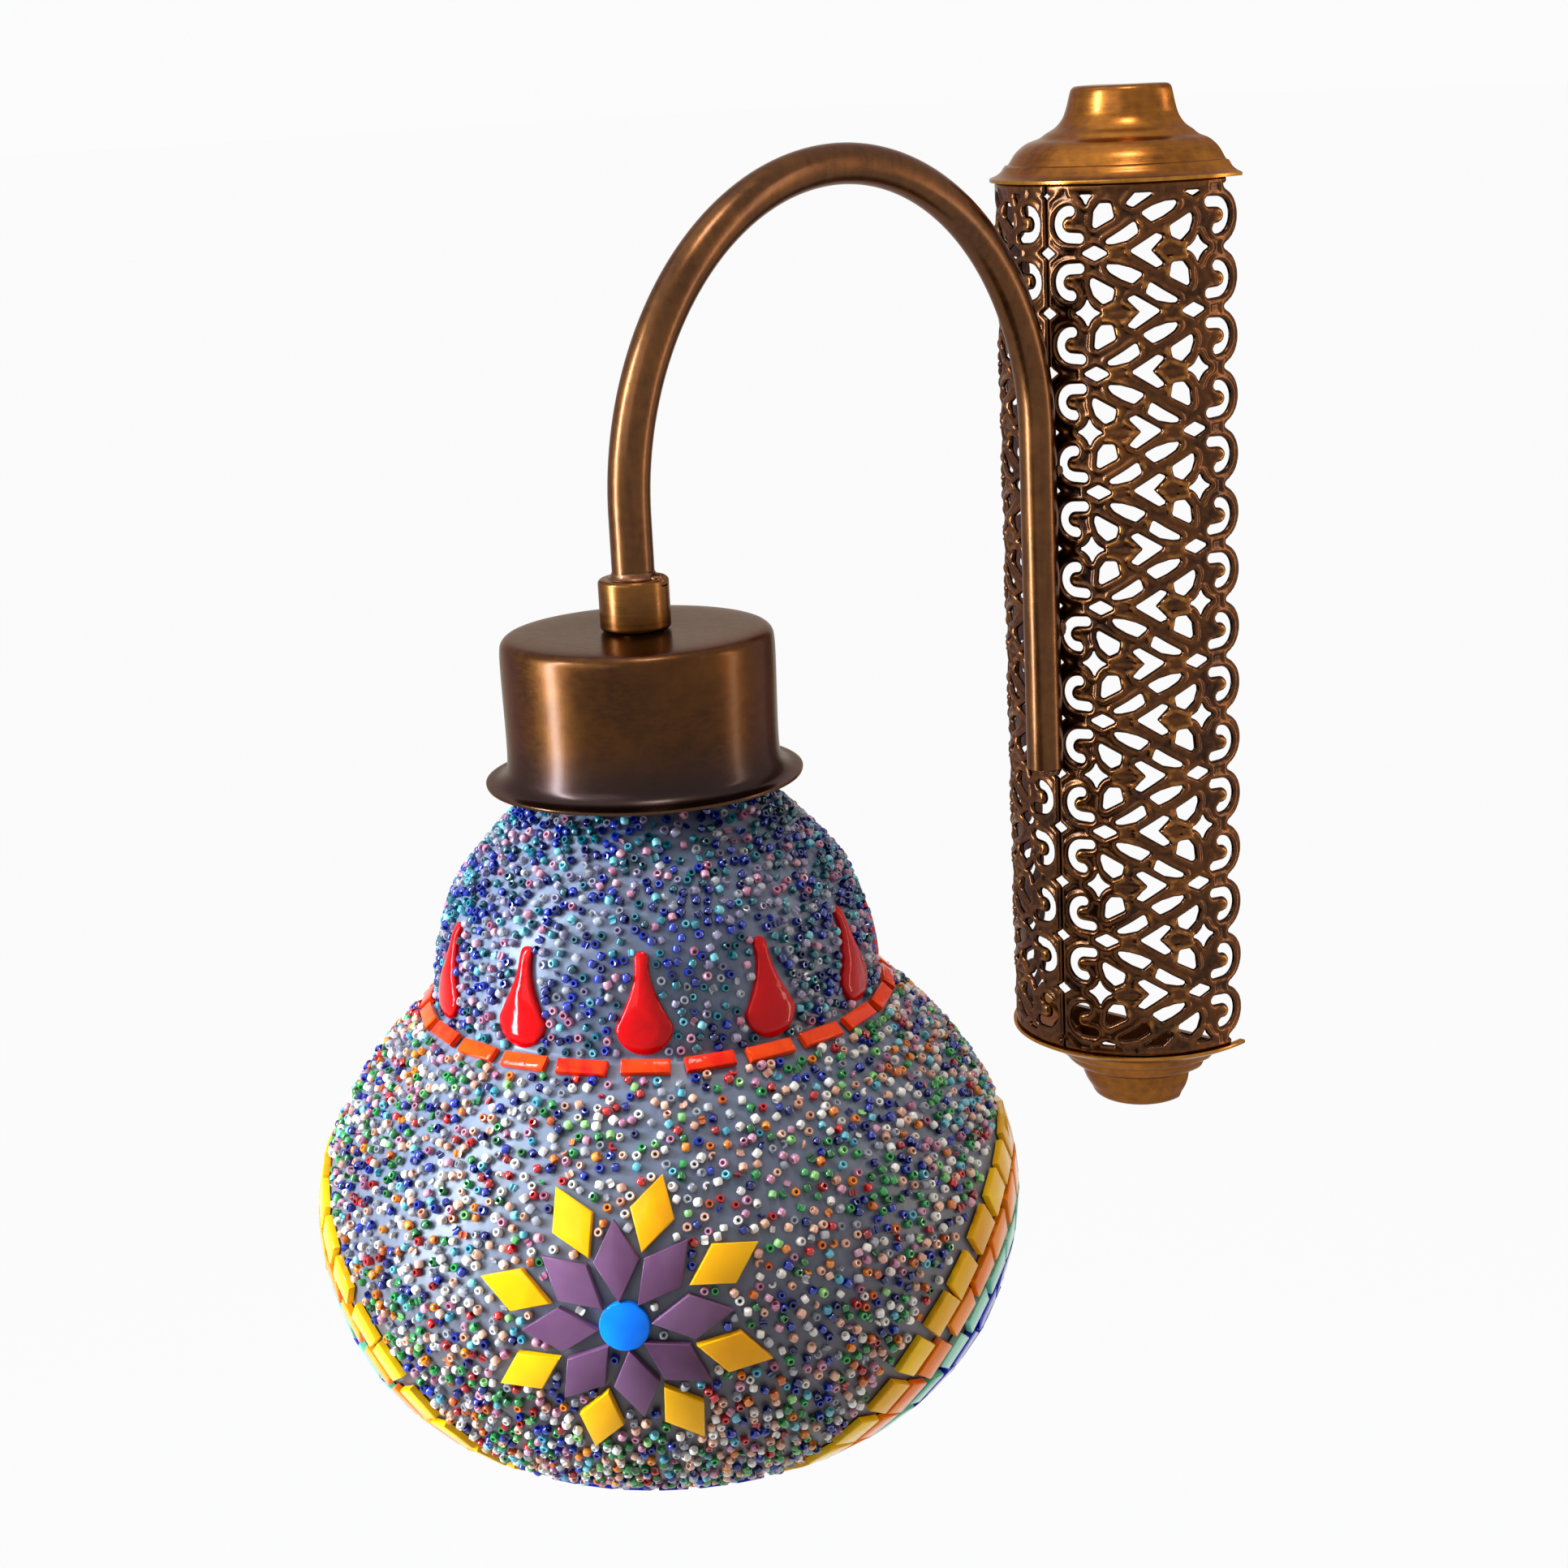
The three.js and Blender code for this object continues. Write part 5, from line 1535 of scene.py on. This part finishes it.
# The strips' hollows are darkened partly by patina and partly as painted shade.
strip_brass = aged_metal("cast_brass_dark", (24, 10, 4), (98, 56, 22), (158, 104, 42),
                         (200, 200, 200), patch=60, start=0.55, full=1.3, rough=0.26,
                         grain=0.0002, contrast=2.4, hollow=0.9)
solder_brass = aged_metal("solder_brown", (60, 34, 20), (120, 78, 52), (176, 130, 92),
                          (200, 200, 200), patch=160, rough=0.36, grain=0.0003)


def give(piece, material):
    piece.data.materials.clear()
    piece.data.materials.append(material)


for piece in (cap_top, cap_bottom):
    give(piece, cap_brass)
give(cup, cup_brass)
give(collar, collar_brass)
give(tube, tube_brass)
for piece in strips:
    give(piece, strip_brass)
for piece in solder:
    give(piece, solder_brass)
print("brass finishes", [metal.name for metal in (cap_brass, cup_brass, collar_brass, tube_brass,
                                                  strip_brass, solder_brass)])

# %% [markdown]
# Glass
#
# The globe is frosted, so it scatters light and lets little through. It is blue-grey, and painted
# shade with a warm painted reflection makes it darker and browner towards its foot. The tiles and
# teardrops are solid coloured glass: a deep colour under a glossy face. The beads are the same glass
# in small, so each has its own shade.

# %% Make the glass finishes
BROWN_SHADE_UP_TO, SHADE_GONE_FROM = 30, 150


def globe_material():
    material, tree, shader, place = new_material("frosted_blue_glass")
    tones = use(tree, PATCHES, Place=place, Patch_Size=14.0, Contrast=1.6)
    # Painted shade and painted warm reflection: the glass turns darker and browner towards the foot
    # of the globe.
    risen = use(tree, RISE, Place=place, Low=(globe_low[2] + BROWN_SHADE_UP_TO) * MM,
                High=(globe_low[2] + SHADE_GONE_FROM) * MM)["Share"]
    lower = blend_colours(tree, tones["Tone"], rgb(70, 62, 62), rgb(104, 100, 106))
    upper = blend_colours(tree, tones["Tone"], rgb(88, 94, 112), rgb(132, 146, 174))
    colour = blend_colours(tree, risen, lower, upper)
    tree.links.new(colour, shader.inputs["Base Color"])
    rough = arithmetic(tree, "MULTIPLY_ADD", tones["Fine"], 0.2, 0.28)
    tree.links.new(rough, shader.inputs["Roughness"])
    tree.links.new(bump(tree, tones["Tone"], 0.2, 0.0006), shader.inputs["Normal"])
    shader.inputs["Transmission Weight"].default_value = 0.12
    shader.inputs["Specular IOR Level"].default_value = 0.4
    return material


def tile_material(name, deep, pale, clear=0.0, spread=0.7, scale=60.0, wave=0.0007, shine=0.16):
    material, tree, shader, place = new_material(name)
    shade = stored(tree, "shade")
    ripple = use(tree, RIPPLE, Place=place, Scale=scale, Shade=shade, Spread=spread)
    colour = blend_colours(tree, ripple["Tone"], rgb(*deep), rgb(*pale))
    tree.links.new(colour, shader.inputs["Base Color"])
    shader.inputs["Roughness"].default_value = 0.08
    shader.inputs["Transmission Weight"].default_value = clear
    shader.inputs["Specular IOR Level"].default_value = shine
    tree.links.new(bump(tree, ripple["Height"], 0.3, wave), shader.inputs["Normal"])
    return material


give(glass, globe_material())
give(discs, tile_material("azure_tile_glass", (0, 105, 240), (10, 160, 255)))
give(purples, tile_material("purple_tile_glass", (82, 44, 74), (124, 86, 120)))
give(yellows, tile_material("yellow_tile_glass", (244, 160, 2), (255, 196, 10)))
ring_colours = {
    "yellow": ((232, 162, 2), (252, 202, 16)), "orange": ((240, 112, 2), (255, 156, 14)),
    "green": ((60, 178, 146), (156, 226, 202)), "blue": ((0, 0, 130), (6, 14, 205)),
    "blue_inner": ((0, 60, 190), (20, 120, 240)), "yellow_inner": ((232, 162, 2), (252, 202, 16)),
    "orange_inner": ((240, 112, 2), (255, 156, 14)),
}
medallion_glass = {ring: tile_material("medallion_glass_" + ring, *colours)
                   for ring, colours in ring_colours.items()}
for pieces in (medallion_tiles, bottom_tiles):
    for ring, piece in pieces.items():
        give(piece, medallion_glass[ring])
give(band, tile_material("orange_red_tile_glass", (226, 8, 2), (255, 84, 0), scale=150))
red_glass = tile_material("red_drop_glass", (170, 0, 4), (214, 2, 10), spread=0.5, scale=110,
                          wave=0.0012)
for piece in drops:
    give(piece, red_glass)

BEAD_COLOURS = {
    "cobalt": ((2, 12, 84), (14, 48, 176), 0.15),
    "teal": ((0, 58, 76), (12, 124, 142), 0.15),
    "cyan": ((60, 160, 190), (130, 214, 226), 0.2),
    "rose": ((172, 92, 128), (224, 164, 186), 0.2),
    "clear": ((170, 172, 182), (222, 222, 230), 0.6),
    "lilac": ((138, 128, 164), (190, 182, 210), 0.5),
    "white": ((206, 198, 190), (246, 242, 236), 0.0),
    "peach": ((196, 136, 110), (238, 190, 164), 0.0),
    "green": ((8, 84, 36), (40, 156, 74), 0.0),
    "orange": ((196, 76, 4), (250, 148, 20), 0.1),
    "red": ((134, 4, 8), (206, 20, 22), 0.0),
    "lime": ((96, 176, 96), (162, 222, 132), 0.1),
}
bead_materials = {}
for name, (deep, pale, clear) in BEAD_COLOURS.items():
    bead_materials[name] = tile_material("bead_glass_" + name, deep, pale, clear, spread=1.0,
                                         scale=300, wave=0.0002, shine=0.7)
for group in (upper_beads, lower_beads):
    for name, piece in group.items():
        give(piece, bead_materials[name])
print("bead colours", len(bead_materials))

# %% [markdown]
# Hidden fittings
#
# Inside the cup are the nipple, the clips that hold the globe and the lamp holder, and the straps
# are behind the column. They show little or only when the globe is lowered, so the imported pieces
# stay, with eased edges and their own finishes: turned brass, spring steel and glazed porcelain.
# The bulb has a satin glass ball and a steel foot.

# %% Finish the fittings
def plain_finish(name, first, second, metallic, rough, patch=60.0, coat=0.0):
    material, tree, shader, place = new_material(name)
    tones = use(tree, PATCHES, Place=place, Patch_Size=patch, Contrast=1.6)
    colour = blend_colours(tree, tones["Tone"], rgb(*first), rgb(*second))
    uneven = arithmetic(tree, "MULTIPLY_ADD", tones["Fine"], 0.16, rough - 0.08)
    tree.links.new(colour, shader.inputs["Base Color"])
    tree.links.new(uneven, shader.inputs["Roughness"])
    tree.links.new(bump(tree, tones["Fine"], 0.2, 0.0001), shader.inputs["Normal"])
    shader.inputs["Metallic"].default_value = metallic
    shader.inputs["Coat Weight"].default_value = coat
    return material


bright_brass = plain_finish("turned_bright_brass", (176, 134, 70), (214, 174, 104), 1.0, 0.26)
strap_brass = plain_finish("strap_brass", (70, 44, 20), (112, 76, 38), 1.0, 0.4)
steel = plain_finish("clip_spring_steel", (150, 150, 148), (184, 184, 182), 1.0, 0.3)
porcelain = plain_finish("glazed_porcelain", (226, 222, 212), (240, 238, 230), 0.0, 0.25, coat=0.5)
satin = plain_finish("satin_bulb_glass", (236, 234, 226), (248, 246, 240), 0.0, 0.35, coat=0.4)
FITTING_EASE = 0.25
FITTING_CORNER = math.radians(50)
FITTINGS = {
    "upper_strap": strap_brass, "lower_strap": strap_brass, "threaded_nipple": bright_brass,
    "clip_plate": bright_brass, "lock_nut": bright_brass, "holder_cap": bright_brass,
    "holder_body": bright_brass, "thread_shell": bright_brass, "centre_contact": bright_brass,
    "spring_clip_1": steel, "spring_clip_2": steel, "spring_clip_3": steel,
    "porcelain_insert": porcelain,
}
for node, material in FITTINGS.items():
    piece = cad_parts[node]
    give(piece, material)
    eased = piece.modifiers.new("eased", "BEVEL")
    eased.width = FITTING_EASE * MM
    eased.segments = 2
    eased.limit_method = "ANGLE"
    eased.angle_limit = FITTING_CORNER
give(bulb_ball, satin)
give(bulb_foot, steel)
print("fittings finished", len(FITTINGS) + 2)

# %% [markdown]
# Floor and light
#
# The lamp hangs on nothing here, so the floor lies well below it, pale and wide. A tall cool lamp on
# the left draws the long highlights, a weak warm one stands on the right, a small one hangs
# overhead, a broad soft one fills from the front and a faint sun comes from above. The world is
# white where it is seen directly, by reflection or through glass, and gives only a modest fill.

# %% Lay the floor
def seen_rays(tree):
    """1 where the surface is seen directly, by reflection or through glass, else 0."""
    rays = tree.nodes.new("ShaderNodeLightPath").outputs
    return arithmetic(tree, "MAXIMUM", rays["Is Camera Ray"], arithmetic(
        tree, "MAXIMUM", rays["Is Glossy Ray"], rays["Is Transmission Ray"]))


FLOOR_Z = -1.25
FLOOR_HALF = 60
FLOOR_SHOWN = 0.94
corners = ((-1, -1), (1, -1), (1, 1), (-1, 1))
floor_points = [(x * FLOOR_HALF, y * FLOOR_HALF, FLOOR_Z) for x, y in corners]
floor_mesh = bpy.data.meshes.new("floor")
floor_mesh.from_pydata(floor_points, [], [(0, 1, 2, 3)])
floor = bpy.data.objects.new("floor", floor_mesh)
bpy.context.scene.collection.objects.link(floor)
floor_material, tree, shader, place = new_material("pale_floor")
shader.inputs["Base Color"].default_value = (0.86, 0.86, 0.86, 1)
shader.inputs["Roughness"].default_value = 0.9
seen = seen_rays(tree)
white = add(tree, "ShaderNodeEmission", {"Color": (1, 1, 1, 1), "Strength": 1.0})
mix = add(tree, "ShaderNodeMixShader", {0: arithmetic(tree, "MULTIPLY", seen, FLOOR_SHOWN),
                                        1: shader.outputs[0], 2: white.outputs[0]})
tree.links.new(mix.outputs[0], tree.nodes["Material Output"].inputs["Surface"])
floor.data.materials.append(floor_material)
print("floor at", FLOOR_Z, "m")

# %% Light the room
ROOM_FILL = 0.18
ROOM_SHOWN = 0.79
world = bpy.data.worlds.new("room")
world.use_nodes = True
tree = world.node_tree
background = tree.nodes["Background"]
background.inputs["Color"].default_value = (1, 1, 1, 1)
strength = arithmetic(tree, "MULTIPLY_ADD", seen_rays(tree), ROOM_SHOWN, ROOM_FILL)
tree.links.new(strength, background.inputs["Strength"])
bpy.context.scene.world = world

middle = (packed_low + packed_high) / 2
toward_camera = (CAMERA_PLACE - middle) * Vector((1, 1, 0))
toward_camera = toward_camera.normalized()


def area_lamp(name, turn, height, distance, wide, tall, power, colour):
    """A rectangular lamp, turned round the object from the camera's side."""
    direction = Matrix.Rotation(math.radians(turn), 3, "Z") @ toward_camera
    place = middle + direction * distance + Vector((0, 0, height))
    data = bpy.data.lights.new(name, "AREA")
    data.shape = "RECTANGLE"
    data.size, data.size_y = wide, tall
    data.energy = power
    data.color = colour
    lamp = bpy.data.objects.new(name, data)
    lamp.location = place
    lamp.rotation_euler = (middle - place).to_track_quat("-Z", "Y").to_euler()
    bpy.context.scene.collection.objects.link(lamp)


area_lamp("left_strip", turn=-72, height=0.25, distance=1.1, wide=0.16, tall=1.3, power=40,
          colour=(0.78, 0.9, 1.0))
area_lamp("right_strip", turn=84, height=0.1, distance=1.1, wide=0.12, tall=1.2, power=4,
          colour=(1.0, 0.84, 0.64))
area_lamp("small_overhead", turn=20, height=1.3, distance=0.25, wide=0.25, tall=0.25, power=5,
          colour=(1.0, 0.97, 0.92))
area_lamp("front_softbox", turn=-40, height=0.9, distance=1.6, wide=1.2, tall=1.2, power=8,
          colour=(1.0, 0.98, 0.96))
sky = bpy.data.lights.new("overhead", "SUN")
sky.energy = 0.55
sky.angle = math.radians(60)
overhead = bpy.data.objects.new("overhead", sky)
overhead.rotation_euler = (math.radians(12), math.radians(-14), 0)
bpy.context.scene.collection.objects.link(overhead)
bpy.context.scene.view_settings.view_transform = "Standard"
print("lamps", [lamp.name for lamp in bpy.data.lights])
